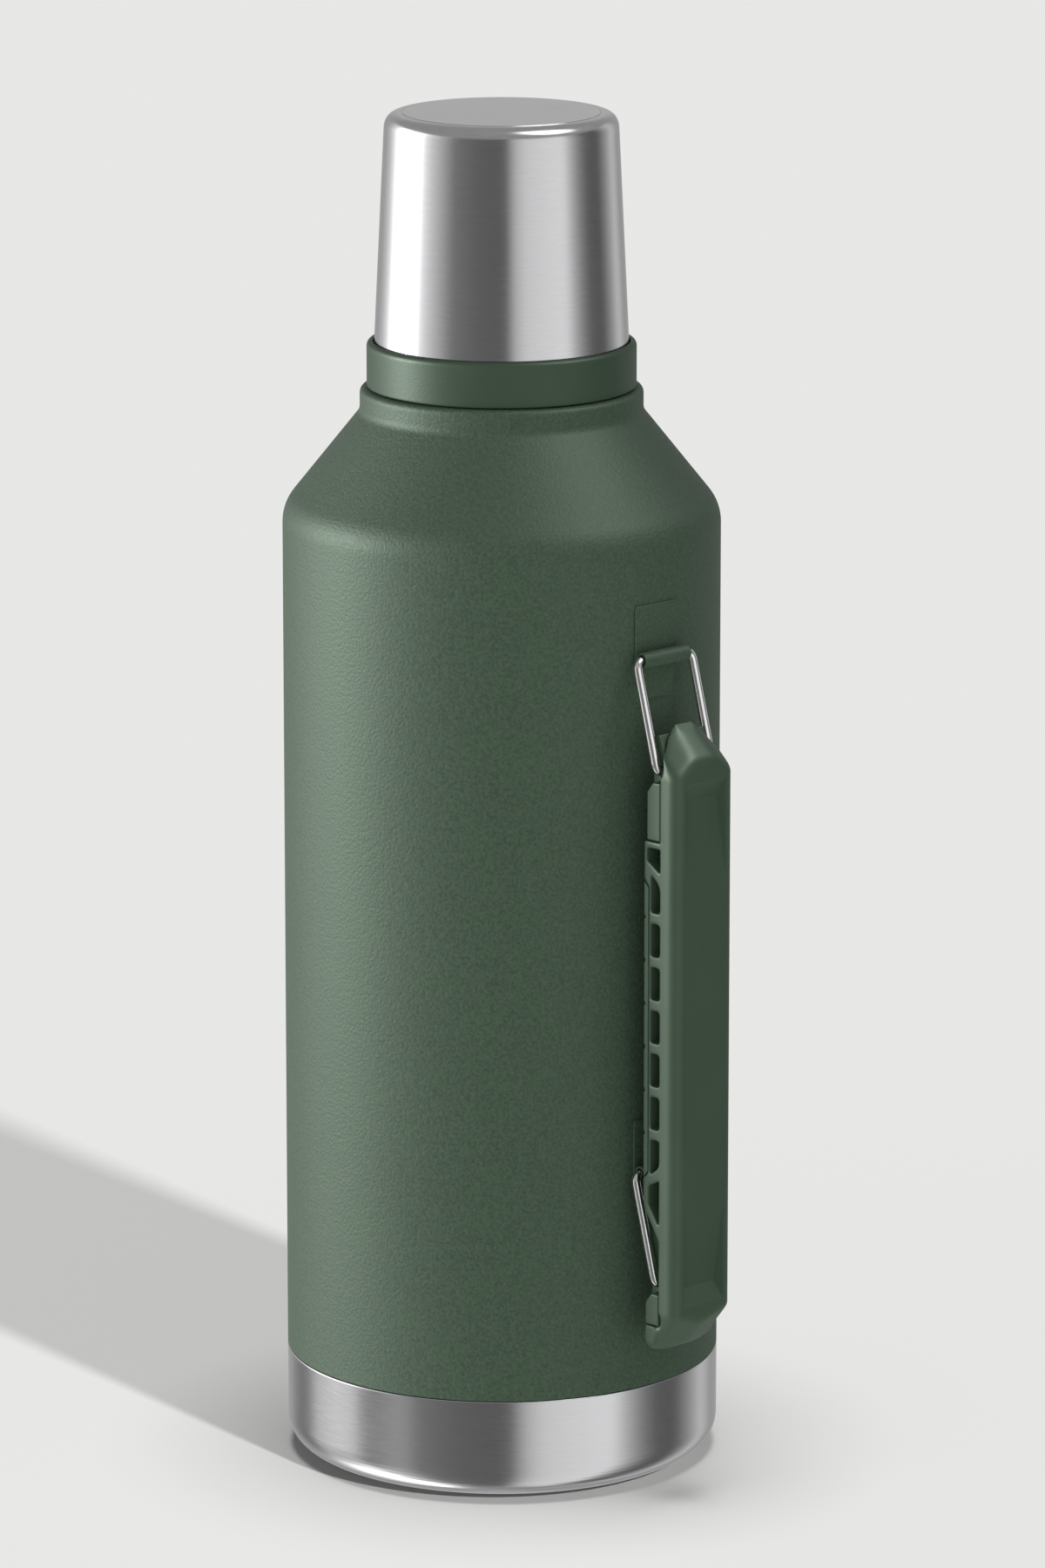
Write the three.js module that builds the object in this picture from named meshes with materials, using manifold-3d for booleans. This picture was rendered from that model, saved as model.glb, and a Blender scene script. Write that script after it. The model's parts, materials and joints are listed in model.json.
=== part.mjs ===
// Insulated steel growler: vacuum bottle, screw stopper, cup lid and folding side handle.
// Millimetres, +Z up. The origin is on the bottle's axis in the plane it stands on,
// and the handle is on the +X side.
import * as THREE from 'three';
import { mergeVertices } from 'three/addons/utils/BufferGeometryUtils.js';
import Module from 'manifold-3d';

const wasm = await Module();
wasm.setup();

// ---------- driving dimensions ----------
const GAP = 0.3;                 // air left between neighbouring pieces

// bottle
const BODY_R = 66;
const SHELL_WALL = 1;
const BASE_BAND_TOP = 32.2;      // bare steel below, painted shell above
const BASE_FLAT_R = 50.7;
const BASE_ROUND_H = 10.3;
const SHOULDER_Z = 293.8;        // cylinder meets cone
const CONE_TOP_Z = 323;
const LAND_R = 42.6;             // short straight land above the cone
const LAND_TOP = 330.1;
const SKIRT_BOTTOM = 16;         // painted shell's tucked-in skirt inside the base cup
const PLATE_Z = 18;              // underside of the vacuum bottom plate
const SEAL_HOLE_R = 3;

// inner flask and mouth
const FLASK_R = 52.9;
const FLASK_WALL = 0.9;
const FLASK_BOTTOM = 22.5;
const FLASK_SHOULDER_Z = 288;
const FLASK_NECK_Z = 316.5;
const FLASK_NECK_R = 32.4;
const FLASK_NECK_TOP = 334;
const MOUTH_R = 33.4;            // outside of the threaded mouth
const MOUTH_BOTTOM = 318;
const MOUTH_TOP = 352;
const THREAD_PITCH = 5;
const THREAD_RIDGE = 0.7;        // height of a thread above its wall
const MOUTH_THREAD_Z = 338.5;
const MOUTH_THREAD_TURNS = 1.6;

// stopper
const STOPPER_R = 29.6;
const STOPPER_BOTTOM = 322;
const STOPPER_BORE_R = 26;
const FLANGE_R = 33.2;
const FLANGE_Z = MOUTH_TOP + 1.9;
const FLANGE_TOP = FLANGE_Z + 4.1;
const KNOB_R = 27;
const KNOB_TOP = 372;
const KNOB_FLUTES = 8;
const FLUTE_R = 4;
const FLUTE_OFFSET = 2.4;        // flute centres outside the knob's wall
const SPIGOT_DROP = 2.5;         // knob's spigot below the flange top
const PLUG_FLOOR = 2.4;
const SEAL_Z = STOPPER_BOTTOM + 3;
const SEAL_GROOVE_H = 3;
const SEAL_GROOVE_DEPTH = 1.4;
const SEAL_PROUD = 0.7;
const SLOT_HALF = 6;             // pouring slots through the stopper's thread
const SLOT_FLOOR_R = 27.8;
const STOPPER_THREAD_Z = 336.5;
const STOPPER_THREAD_TURNS = 1.4;

// cup lid
const COLLAR_R = 40.5;
const COLLAR_BOTTOM = LAND_TOP + GAP;
const COLLAR_TOP = 344.1;
const CUP_EDGE_R = 38.69;        // cup shell at its lower edge
const CUP_EDGE_Z = 333.8;
const CUP_TOP_R = 34.9;
const CUP_TOP = 412.9;
const CUP_WALL = 0.8;
const LINER_WALL = 1.5;
const CUP_THREAD_R = MOUTH_R + 2.5;
const CUP_THREAD_Z = 337.5;
const CUP_THREAD_TURNS = 1.4;

// handle linkage: two equal wire bails make a parallelogram with the bottle and the grip
const BAR_U = 68.8;              // bail bars in the brackets
const UPPER_BAR_Z = 257.7;
const LOWER_BAR_Z = 100.5;
const FOOT_U = 77.6;             // bail feet in the grip
const FOOT_DROP = 32.2;
const WIRE_R = 1.35;
const WIRE_BEND = 2.5;
const LEG_Y = 11.5;
const FOOT_INNER_Y = 5;

// brackets
const STRAP_WALL = 0.9;
const STRAP_HALF = 9;
const STRAP_TOE_HALF = 5.5;      // strap narrows to this at its lower end
const STRAP_RISE = 15.8;
const STRAP_TAPER = 2.5;         // taper starts this far below the bar
const STRAP_DROP = 12.7;
const BARREL_R = 2.4;
const BARREL_BORE = 1.6;
const BARREL_HALF = 9.4;

// grip
const GRIP_HALF = 12.5;
const GRIP_OUTER_U = 86.5;
const GRIP_EDGE_ROUND = 4;
const GRIP_TOP_INNER = [76.5, 239.4];
const GRIP_TOP_OUTER_Z = 229.5;
const GRIP_BOTTOM_INNER = [76.2, 46.9];
const GRIP_BOTTOM_OUTER_Z = 50;
const GRIP_BOTTOM_ROUND = 7;
const END_TOP_Z = 237.9;         // arched ends at the grip's sides
const END_BOTTOM_Z = 48.2;
const TOP_CROWN = 2;             // how far the arched ends rise in the middle
const BOTTOM_CROWN = 2.6;
const TOP_HIP = { z: 224, outward: 0.9, sideways: 0.7 };
const BOTTOM_HIP = { z: 60, outward: 1.2, sideways: 0.3 };
const BEAM_U = 79.8;             // inner face of the grip's outer beam
const RAIL_U = 73.3;             // inner face of the finger rail
const PAD_SEAT_U = 75.3;
const PAD_TOP = 192.4;
const PAD_BOTTOM = 101.2;
const PAD_BEVEL = 2;
const UPPER_SEAT_BOTTOM = 204.6; // recesses that take the pivot blocks
const LOWER_SEAT_TOP = 82.2;
const LOWER_SEAT_BOTTOM = 55.4;
const WINDOW_U = 76.1;
const WINDOW_H = 10;
const WINDOW_PITCH = 13.28;
const WINDOW_TOP = 179.7;
const WINDOW_COUNT = 5;
const WINDOW_ROUND = 0.8;
const POCKET_HALF = 8.5;
const POCKET_DEPTH = 2.4;

// pivot blocks
const BLOCK_HALF = 9.3;
const SHOULDER_HALF = 12.2;      // lower part, nearly as wide as the grip
const SHOULDER_DROP = 2.9;       // shoulder below the feet's axis
const SHOULDER_BEVEL = 3.1;
const SHOULDER_BEVEL_U = 76.5;
const BLOCK_INNER_U = 74.1;
const BLOCK_HOLE_R = 1.75;
const BLOCK_ROUND = 0.8;

// facets round a full circle
const BIG_SIDES = 36;
const SMALL_SIDES = 28;
const WIRE_SIDES = 8;
const THREAD_SIDES = 18;

// ---------- materials ----------
const finish = (color, roughness, metalness) =>
  new THREE.MeshStandardMaterial({ color, roughness, metalness });
const hammertone = () => finish(0x4a584a, 0.55, 0.2);
const satinGreen = () => finish(0x4b5c4d, 0.5, 0);
const satinSteel = () => finish(0xb4b4b6, 0.3, 1);
const wireSteel = () => finish(0xc8c8ca, 0.2, 1);
const darkPlastic = () => finish(0x2b2d2c, 0.6, 0);
const silicone = () => finish(0x3a3c3b, 0.7, 0);
const paleFoam = () => finish(0xd8d2c4, 0.9, 0);
const getterAlloy = () => finish(0x77777a, 0.6, 0.8);

// ---------- helpers ----------
const product = new THREE.Group();

function add(name, geometry, material) {
  const mesh = new THREE.Mesh(geometry, material);
  mesh.name = name;
  product.add(mesh);
}

/**
 * Points of an outline. A corner is [x, y], or [x, y, back, ahead] where its round starts
 * that far back along the outline and ends that far ahead (ahead defaults to back).
 */
function outline(corners, steps = 2) {
  const cornerAt = (index) => {
    const [x, y] = corners[(index + corners.length) % corners.length];
    return new THREE.Vector2(x, y);
  };
  const points = [];
  corners.forEach(([, , back = 0, ahead = back], index) => {
    const corner = cornerAt(index);
    if (back === 0) {
      points.push(corner);
      return;
    }
    const start = cornerAt(index - 1).sub(corner).setLength(back).add(corner);
    const end = cornerAt(index + 1).sub(corner).setLength(ahead).add(corner);
    points.push(...new THREE.QuadraticBezierCurve(start, corner, end).getPoints(steps));
  });
  return points;
}

/** A body of revolution about Z from [r, z] corners that start and end on the axis. */
function turned(corners, sides = BIG_SIDES, steps = 2) {
  return new THREE.LatheGeometry(outline(corners, steps), sides).rotateX(Math.PI / 2);
}

/** A ring about Z whose section is the closed outline of [r, z] corners. */
function ring(corners, sides = BIG_SIDES, steps = 2) {
  const points = outline(corners, steps);
  points.push(points[0].clone());
  return new THREE.LatheGeometry(points, sides).rotateX(Math.PI / 2);
}

/** A plate with a [u, z] outline, centred on the XZ plane and 2 * half wide along Y. */
function sidePlate(points, half, holes = []) {
  const shape = new THREE.Shape(points);
  shape.holes = holes.map((hole) => new THREE.Path(hole));
  const plate = new THREE.ExtrudeGeometry(shape, { depth: 2 * half, bevelEnabled: false });
  return plate.rotateX(Math.PI / 2).translate(0, half, 0);
}

/** A plate with a [y, z] outline, running along X between two planes. */
function frontPlate(points, fromX, toX) {
  const plate = new THREE.ExtrudeGeometry(new THREE.Shape(points),
    { depth: toX - fromX, bevelEnabled: false });
  return plate.rotateX(Math.PI / 2).rotateZ(Math.PI / 2).translate(fromX, 0, 0);
}

/** A prism with an [x, y] outline, running up Z between two heights. */
function upright(points, fromZ, toZ) {
  return new THREE.ExtrudeGeometry(new THREE.Shape(points),
    { depth: toZ - fromZ, bevelEnabled: false }).translate(0, 0, fromZ);
}

/** A cylinder along Y through [x, z]. */
function crossCylinder(radius, half, x, z, sides = 16) {
  return new THREE.CylinderGeometry(radius, radius, 2 * half, sides).translate(x, 0, z);
}

function solid(geometry) {
  const bare = geometry.clone();
  bare.deleteAttribute('normal');
  bare.deleteAttribute('uv');
  const merged = mergeVertices(bare, 1e-4);
  const corners = merged.index.array;
  const triVerts = [];
  for (let i = 0; i < corners.length; i += 3) {
    const [a, b, c] = corners.subarray(i, i + 3);
    if (a !== b && b !== c && c !== a) triVerts.push(a, b, c);
  }
  return new wasm.Manifold(new wasm.Mesh({
    numProp: 3,
    vertProperties: new Float32Array(merged.attributes.position.array),
    triVerts: new Uint32Array(triVerts),
  }));
}

function geometryOf(body) {
  const { vertProperties, triVerts, numProp } = body.getMesh();
  const positions = [];
  for (let i = 0; i < vertProperties.length; i += numProp) {
    positions.push(...vertProperties.subarray(i, i + 3));
  }
  const geometry = new THREE.BufferGeometry();
  geometry.setAttribute('position', new THREE.Float32BufferAttribute(positions, 3));
  geometry.setIndex([...triVerts]);
  geometry.computeVertexNormals();
  return geometry;
}

/** A helix about Z that climbs from the bottom height by one pitch a turn. */
class Helix extends THREE.Curve {
  constructor(radius, bottom, pitch, turns) {
    super();
    Object.assign(this, { radius, bottom, pitch, turns });
  }

  getPoint(t, target = new THREE.Vector3()) {
    const angle = 2 * Math.PI * this.turns * t;
    return target.set(this.radius * Math.cos(angle), this.radius * Math.sin(angle),
      this.bottom + this.pitch * this.turns * t);
  }
}

/** A regular polygon about the origin. */
function disc(radius, sides) {
  const shape = new THREE.Shape();
  for (let i = 0; i < sides; i += 1) {
    const angle = (2 * Math.PI * i) / sides;
    const point = [radius * Math.cos(angle), radius * Math.sin(angle)];
    if (i === 0) shape.moveTo(...point);
    else shape.lineTo(...point);
  }
  return shape;
}

/** A thread ridge of square section, standing on its corner, wound along a helix. */
function threadRidge(radius, ridge, bottom, turns) {
  return new THREE.ExtrudeGeometry(disc(ridge, 4), {
    steps: Math.round(THREAD_SIDES * turns),
    bevelEnabled: false,
    extrudePath: new Helix(radius, bottom, THREAD_PITCH, turns),
  });
}

// ---------- bottle ----------
function outerShell() {
  const inner = BODY_R - SHELL_WALL;
  const skirt = inner - GAP;
  const landInner = LAND_R - SHELL_WALL;
  const under = LAND_TOP - SHELL_WALL;
  const shoulderWall = 0.4;      // how much lower the inside corners of the cone lie
  return ring([
    [skirt, SKIRT_BOTTOM],
    [skirt, BASE_BAND_TOP + GAP],
    [BODY_R, BASE_BAND_TOP + GAP],
    [BODY_R, SHOULDER_Z, 4.9],
    [LAND_R, CONE_TOP_Z, 1.5],
    [LAND_R, LAND_TOP, 2],
    [MOUTH_R + GAP, LAND_TOP],
    [MOUTH_R + GAP, under],
    [landInner, under, 1],
    [landInner, CONE_TOP_Z + shoulderWall, 1.2],
    [inner, SHOULDER_Z - shoulderWall, 4.6],
    [inner, BASE_BAND_TOP + GAP + SHELL_WALL],
    [skirt - SHELL_WALL, BASE_BAND_TOP + GAP + SHELL_WALL],
    [skirt - SHELL_WALL, SKIRT_BOTTOM],
  ]);
}

function baseCup() {
  const inner = BODY_R - SHELL_WALL;
  const roundIn = BODY_R - BASE_FLAT_R;
  return turned([
    [0, 0],
    [BODY_R, 0, roundIn, BASE_ROUND_H],
    [BODY_R, BASE_BAND_TOP],
    [inner, BASE_BAND_TOP],
    [inner, SHELL_WALL, BASE_ROUND_H, roundIn],
    [0, SHELL_WALL],
  ], BIG_SIDES, 4);
}

function bottomPlate() {
  const rim = BODY_R - 2 * SHELL_WALL - 2 * GAP;
  const top = PLATE_Z + SHELL_WALL;
  const flangeBottom = PLATE_Z - 6;
  return ring([
    [SEAL_HOLE_R, PLATE_Z],
    [rim - SHELL_WALL, PLATE_Z],
    [rim - SHELL_WALL, flangeBottom],
    [rim, flangeBottom],
    [rim, top, 1],
    [SEAL_HOLE_R, top],
  ]);
}

function evacuationSeal() {
  const stem = SEAL_HOLE_R - GAP;
  const head = 6;
  return turned([
    [0, PLATE_Z - GAP - 2],
    [head, PLATE_Z - GAP - 2, 1],
    [head, PLATE_Z - GAP],
    [stem, PLATE_Z - GAP],
    [stem, PLATE_Z + SHELL_WALL + 0.5],
    [0, PLATE_Z + SHELL_WALL + 0.5],
  ], 24);
}

function getterPill() {
  const height = 2;
  const pill = new THREE.CylinderGeometry(8, 8, height, 20).rotateX(Math.PI / 2);
  return pill.translate(-30, 0, PLATE_Z + SHELL_WALL + GAP + height / 2);
}

function innerFlask() {
  const inner = FLASK_R - FLASK_WALL;
  const neck = FLASK_NECK_R - FLASK_WALL;
  return turned([
    [0, FLASK_BOTTOM],
    [FLASK_R, FLASK_BOTTOM, 14],
    [FLASK_R, FLASK_SHOULDER_Z, 5],
    [FLASK_NECK_R, FLASK_NECK_Z, 3],
    [FLASK_NECK_R, FLASK_NECK_TOP],
    [neck, FLASK_NECK_TOP],
    [neck, FLASK_NECK_Z + 0.4, 3],
    [inner, FLASK_SHOULDER_Z + 0.4, 5],
    [inner, FLASK_BOTTOM + FLASK_WALL, 13.5],
    [0, FLASK_BOTTOM + FLASK_WALL],
  ]);
}

function neckRing() {
  const bore = FLASK_NECK_R - FLASK_WALL;
  const socket = FLASK_NECK_R + GAP;
  const tube = solid(ring([
    [MOUTH_R, MOUTH_BOTTOM],
    [MOUTH_R, MOUTH_TOP, 0.8],
    [bore, MOUTH_TOP, 0.8],
    [bore, FLASK_NECK_TOP + GAP],
    [socket, FLASK_NECK_TOP + GAP],
    [socket, MOUTH_BOTTOM],
  ]));
  const innerRidge = 0.5;
  const outside = solid(threadRidge(MOUTH_R, THREAD_RIDGE, MOUTH_THREAD_Z, MOUTH_THREAD_TURNS));
  const inside = solid(threadRidge(bore + 0.1, innerRidge, MOUTH_THREAD_Z, MOUTH_THREAD_TURNS));
  return geometryOf(tube.add(outside).add(inside));
}

function bracket(barZ) {
  const strapOutline = outline([
    [-STRAP_HALF, barZ + STRAP_RISE, 1],
    [-STRAP_HALF, barZ - STRAP_TAPER, 2],
    [-STRAP_TOE_HALF, barZ - STRAP_DROP, 1.5],
    [STRAP_TOE_HALF, barZ - STRAP_DROP, 1.5],
    [STRAP_HALF, barZ - STRAP_TAPER, 2],
    [STRAP_HALF, barZ + STRAP_RISE, 1],
  ]);
  const wrapHalf = 20;
  const wrap = solid(ring([
    [BODY_R + GAP, barZ - wrapHalf],
    [BODY_R + GAP + STRAP_WALL, barZ - wrapHalf],
    [BODY_R + GAP + STRAP_WALL, barZ + wrapHalf],
    [BODY_R + GAP, barZ + wrapHalf],
  ]));
  const strap = wrap.intersect(solid(frontPlate(strapOutline, BODY_R - 5, BODY_R + 5)));
  const barrel = solid(crossCylinder(BARREL_R, BARREL_HALF, BAR_U, barZ));
  const bore = solid(crossCylinder(BARREL_BORE, BARREL_HALF + 1, BAR_U, barZ));
  return geometryOf(strap.add(barrel).subtract(bore));
}

// ---------- stopper ----------
function stopperBody() {
  const grooveR = STOPPER_R - SEAL_GROOVE_DEPTH;
  const grooveTop = SEAL_Z + SEAL_GROOVE_H;
  const shell = solid(turned([
    [0, STOPPER_BOTTOM],
    [STOPPER_R, STOPPER_BOTTOM, 1.5],
    [STOPPER_R, SEAL_Z],
    [grooveR, SEAL_Z],
    [grooveR, grooveTop],
    [STOPPER_R, grooveTop],
    [STOPPER_R, FLANGE_Z],
    [FLANGE_R, FLANGE_Z],
    [FLANGE_R, FLANGE_TOP, 1],
    [STOPPER_BORE_R, FLANGE_TOP],
    [STOPPER_BORE_R, STOPPER_BOTTOM + PLUG_FLOOR],
    [0, STOPPER_BOTTOM + PLUG_FLOOR],
  ]));
  const thread = solid(
    threadRidge(STOPPER_R, THREAD_RIDGE, STOPPER_THREAD_Z, STOPPER_THREAD_TURNS),
  );
  const slotLow = grooveTop + 2;
  const slotHigh = MOUTH_TOP + 0.8;
  const slot = (side) => solid(upright([
    new THREE.Vector2(-SLOT_HALF, side * SLOT_FLOOR_R),
    new THREE.Vector2(SLOT_HALF, side * SLOT_FLOOR_R),
    new THREE.Vector2(SLOT_HALF, side * FLANGE_R),
    new THREE.Vector2(-SLOT_HALF, side * FLANGE_R),
  ], slotLow, slotHigh));
  return geometryOf(shell.add(thread).subtract(slot(1)).subtract(slot(-1)));
}

function stopperSeal() {
  const inner = STOPPER_R - SEAL_GROOVE_DEPTH + GAP;
  const outer = STOPPER_R + SEAL_PROUD;
  const bottom = SEAL_Z + GAP;
  const top = SEAL_Z + SEAL_GROOVE_H - GAP;
  return ring([
    [inner, bottom],
    [outer, bottom, 1],
    [outer, top, 1],
    [inner, top],
  ], SMALL_SIDES, 2);
}

function stopperGasket() {
  const inner = STOPPER_R + 1.1;
  const outer = FLANGE_R - 0.2;
  return ring([
    [inner, MOUTH_TOP + GAP],
    [outer, MOUTH_TOP + GAP],
    [outer, FLANGE_Z - GAP],
    [inner, FLANGE_Z - GAP],
  ]);
}

function stopperCore() {
  const bottom = STOPPER_BOTTOM + PLUG_FLOOR + GAP;
  const top = FLANGE_TOP - SPIGOT_DROP - 0.5;
  return turned([
    [0, bottom],
    [STOPPER_BORE_R - GAP, bottom],
    [STOPPER_BORE_R - GAP, top],
    [0, top],
  ], SMALL_SIDES);
}

function stopperKnob() {
  const bottom = FLANGE_TOP + GAP;
  const rimR = FLANGE_R - 1.5;
  const neckZ = bottom + 3;
  const fluteLength = 30;
  const spigotR = STOPPER_BORE_R - GAP;
  const blank = solid(turned([
    [0, FLANGE_TOP - SPIGOT_DROP],
    [spigotR, FLANGE_TOP - SPIGOT_DROP],
    [spigotR, bottom],
    [rimR, bottom],
    [rimR, bottom + 1.5],
    [KNOB_R, neckZ],
    [KNOB_R, KNOB_TOP, 2],
    [0, KNOB_TOP],
  ]));
  let knob = blank;
  for (let i = 0; i < KNOB_FLUTES; i += 1) {
    const angle = (2 * Math.PI * i) / KNOB_FLUTES;
    const flute = new THREE.CylinderGeometry(FLUTE_R, FLUTE_R, fluteLength, 10);
    flute.rotateX(Math.PI / 2);
    flute.translate(KNOB_R + FLUTE_OFFSET, 0, neckZ + fluteLength / 2).rotateZ(angle);
    knob = knob.subtract(solid(flute));
  }
  return geometryOf(knob);
}

// ---------- cup lid ----------
function cupShell() {
  return turned([
    [0, CUP_TOP - CUP_WALL],
    [CUP_TOP_R - CUP_WALL, CUP_TOP - CUP_WALL, 4.2],
    [CUP_EDGE_R - CUP_WALL, CUP_EDGE_Z],
    [CUP_EDGE_R, CUP_EDGE_Z],
    [CUP_TOP_R, CUP_TOP, 4.7],
    [0, CUP_TOP],
  ]);
}

function cupLiner() {
  const edgeR = CUP_EDGE_R - CUP_WALL - GAP;
  const topR = CUP_TOP_R - CUP_WALL - GAP;
  const top = CUP_TOP - CUP_WALL - GAP;
  const bottom = CUP_EDGE_Z + GAP;
  const wall = solid(turned([
    [0, top - LINER_WALL],
    [topR - LINER_WALL, top - LINER_WALL, 3.6],
    [edgeR - LINER_WALL, bottom],
    [edgeR, bottom],
    [topR, top, 4.2],
    [0, top],
  ]));
  const thread = solid(threadRidge(CUP_THREAD_R, THREAD_RIDGE, CUP_THREAD_Z, CUP_THREAD_TURNS));
  return geometryOf(wall.add(thread));
}

function cupCollar() {
  const lipR = COLLAR_R - 1.2;
  const floorBottom = COLLAR_BOTTOM + 1.8;
  const floorTop = CUP_EDGE_Z - GAP;
  return ring([
    [CUP_THREAD_R, floorBottom],
    [lipR, floorBottom],
    [lipR, COLLAR_BOTTOM],
    [COLLAR_R, COLLAR_BOTTOM],
    [COLLAR_R, COLLAR_TOP, 1.8],
    [CUP_EDGE_R - 0.2, COLLAR_TOP],
    [CUP_EDGE_R + GAP, floorTop],
    [CUP_THREAD_R, floorTop],
  ]);
}

function cupGasket() {
  const outer = COLLAR_R - 1.5;
  const top = COLLAR_BOTTOM + 1.5;
  return ring([
    [CUP_THREAD_R, COLLAR_BOTTOM],
    [outer, COLLAR_BOTTOM],
    [outer, top],
    [CUP_THREAD_R, top],
  ]);
}

// ---------- handle ----------
/** One wire bail: a bar in its bracket, two legs, and two feet turned in to the grip. */
function bail(barZ) {
  const corners = [
    [FOOT_U, -FOOT_INNER_Y, barZ - FOOT_DROP],
    [FOOT_U, -LEG_Y, barZ - FOOT_DROP],
    [BAR_U, -LEG_Y, barZ],
    [BAR_U, LEG_Y, barZ],
    [FOOT_U, LEG_Y, barZ - FOOT_DROP],
    [FOOT_U, FOOT_INNER_Y, barZ - FOOT_DROP],
  ].map((corner) => new THREE.Vector3(...corner));
  const path = new THREE.CurvePath();
  let from = corners[0];
  for (let i = 1; i < corners.length - 1; i += 1) {
    const corner = corners[i];
    const start = corners[i - 1].clone().sub(corner).setLength(WIRE_BEND).add(corner);
    const end = corners[i + 1].clone().sub(corner).setLength(WIRE_BEND).add(corner);
    path.add(new THREE.LineCurve3(from, start));
    path.add(new THREE.QuadraticBezierCurve3(start, corner, end));
    from = end;
  }
  path.add(new THREE.LineCurve3(from, corners.at(-1)));
  return new THREE.ExtrudeGeometry(disc(WIRE_R, WIRE_SIDES), {
    steps: 48,
    bevelEnabled: false,
    extrudePath: path,
  });
}

/** The grip's lightening windows, as [u, z] outlines seen from the side. */
function gripWindows() {
  const round = WINDOW_ROUND;
  const windows = [
    [[74.5, 198.7], [BEAM_U, 195.3], [BEAM_U, 202.7], [74.5, 202.5]],
    [[WINDOW_U, 183, round], [BEAM_U, 183, round], [BEAM_U, 191.3, 1.5], [WINDOW_U, 194.6]],
    [[WINDOW_U, 102.4, round], [BEAM_U, 105, 1.5], [BEAM_U, 113.3, round],
      [WINDOW_U, 113.3, round]],
    [[75.5, 93.2], [BEAM_U, 86.9], [BEAM_U, 101], [75.5, 98.8]],
  ];
  for (let i = 0; i < WINDOW_COUNT; i += 1) {
    const top = WINDOW_TOP - i * WINDOW_PITCH;
    const bottom = top - WINDOW_H;
    windows.push([
      [WINDOW_U, bottom, round],
      [BEAM_U, bottom, 1],
      [BEAM_U, top, 1],
      [WINDOW_U, top, round],
    ]);
  }
  return windows.map((corners) => outline(corners, 2));
}

/** A shallow ramped pocket in the grip's outer face, deepest near the grip's end. */
function gripPocket(endZ, deepZ, fadeZ) {
  const outside = GRIP_OUTER_U + 1;
  return solid(sidePlate([
    [outside, endZ],
    [GRIP_OUTER_U, endZ],
    [GRIP_OUTER_U - POCKET_DEPTH, deepZ],
    [GRIP_OUTER_U, fadeZ],
    [outside, fadeZ],
  ].map(([u, z]) => new THREE.Vector2(u, z)), POCKET_HALF));
}

/** Cuts a flat across both outer corners at one end of the grip; inward is -1 at the top. */
function hipped(body, { z, outward, sideways }, inward) {
  let cut = body;
  for (const side of [1, -1]) {
    const normal = new THREE.Vector3(-outward, -side * sideways, inward).normalize();
    const corner = new THREE.Vector3(GRIP_OUTER_U, side * GRIP_HALF, z);
    cut = cut.trimByPlane(normal.toArray(), normal.dot(corner));
  }
  return cut;
}

/** The grip seen from the side: beam, finger rail and the recesses for the pivot blocks. */
function gripSide() {
  return outline([
    [...GRIP_BOTTOM_INNER, 1.5],
    [GRIP_OUTER_U, GRIP_BOTTOM_OUTER_Z, GRIP_BOTTOM_ROUND],
    [GRIP_OUTER_U, GRIP_TOP_OUTER_Z, 1.5],
    [...GRIP_TOP_INNER, 1],
    [BEAM_U, GRIP_TOP_OUTER_Z],
    [BEAM_U, UPPER_SEAT_BOTTOM],
    [RAIL_U, UPPER_SEAT_BOTTOM, 0.6],
    [RAIL_U, PAD_TOP + 0.6],
    [PAD_SEAT_U, PAD_TOP - PAD_BEVEL + 0.2],
    [PAD_SEAT_U, PAD_BOTTOM + PAD_BEVEL - 0.2],
    [RAIL_U, PAD_BOTTOM - 0.6],
    [RAIL_U, 92.2, 1.5],
    [BEAM_U, LOWER_SEAT_TOP],
    [BEAM_U, LOWER_SEAT_BOTTOM],
    [74.4, LOWER_SEAT_BOTTOM, 0.6],
    [74, 51, 1.5],
  ]);
}

/** The grip seen along X: straight sides and gently arched ends. */
function gripFront() {
  return outline([
    [-GRIP_HALF, END_BOTTOM_Z, 2],
    [0, END_BOTTOM_Z - BOTTOM_CROWN, 9],
    [GRIP_HALF, END_BOTTOM_Z, 2],
    [GRIP_HALF, END_TOP_Z, 2],
    [0, END_TOP_Z + TOP_CROWN, 9],
    [-GRIP_HALF, END_TOP_Z, 2],
  ], 4);
}

/** The grip seen from above: a flat outer face between two rounded edges. */
function gripSection() {
  const inside = RAIL_U - 1;
  return outline([
    [inside, -GRIP_HALF],
    [GRIP_OUTER_U, -GRIP_HALF, GRIP_EDGE_ROUND],
    [GRIP_OUTER_U, GRIP_HALF, GRIP_EDGE_ROUND],
    [inside, GRIP_HALF],
  ], 4);
}

function gripBody() {
  const blank = solid(sidePlate(gripSide(), GRIP_HALF, gripWindows()))
    .intersect(solid(upright(gripSection(), 40, 245)))
    .intersect(solid(frontPlate(gripFront(), RAIL_U - 2, GRIP_OUTER_U + 2)));
  const shaped = hipped(hipped(blank, TOP_HIP, -1), BOTTOM_HIP, 1);
  return geometryOf(shaped
    .subtract(gripPocket(222.6, 217.3, 194))
    .subtract(gripPocket(62, 67.5, 91)));
}

function fingerPad() {
  const face = PAD_SEAT_U - GAP;
  return sidePlate(outline([
    [RAIL_U, PAD_BOTTOM],
    [face, PAD_BOTTOM + PAD_BEVEL],
    [face, PAD_TOP - PAD_BEVEL],
    [RAIL_U, PAD_TOP],
  ]), GRIP_HALF);
}

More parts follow.
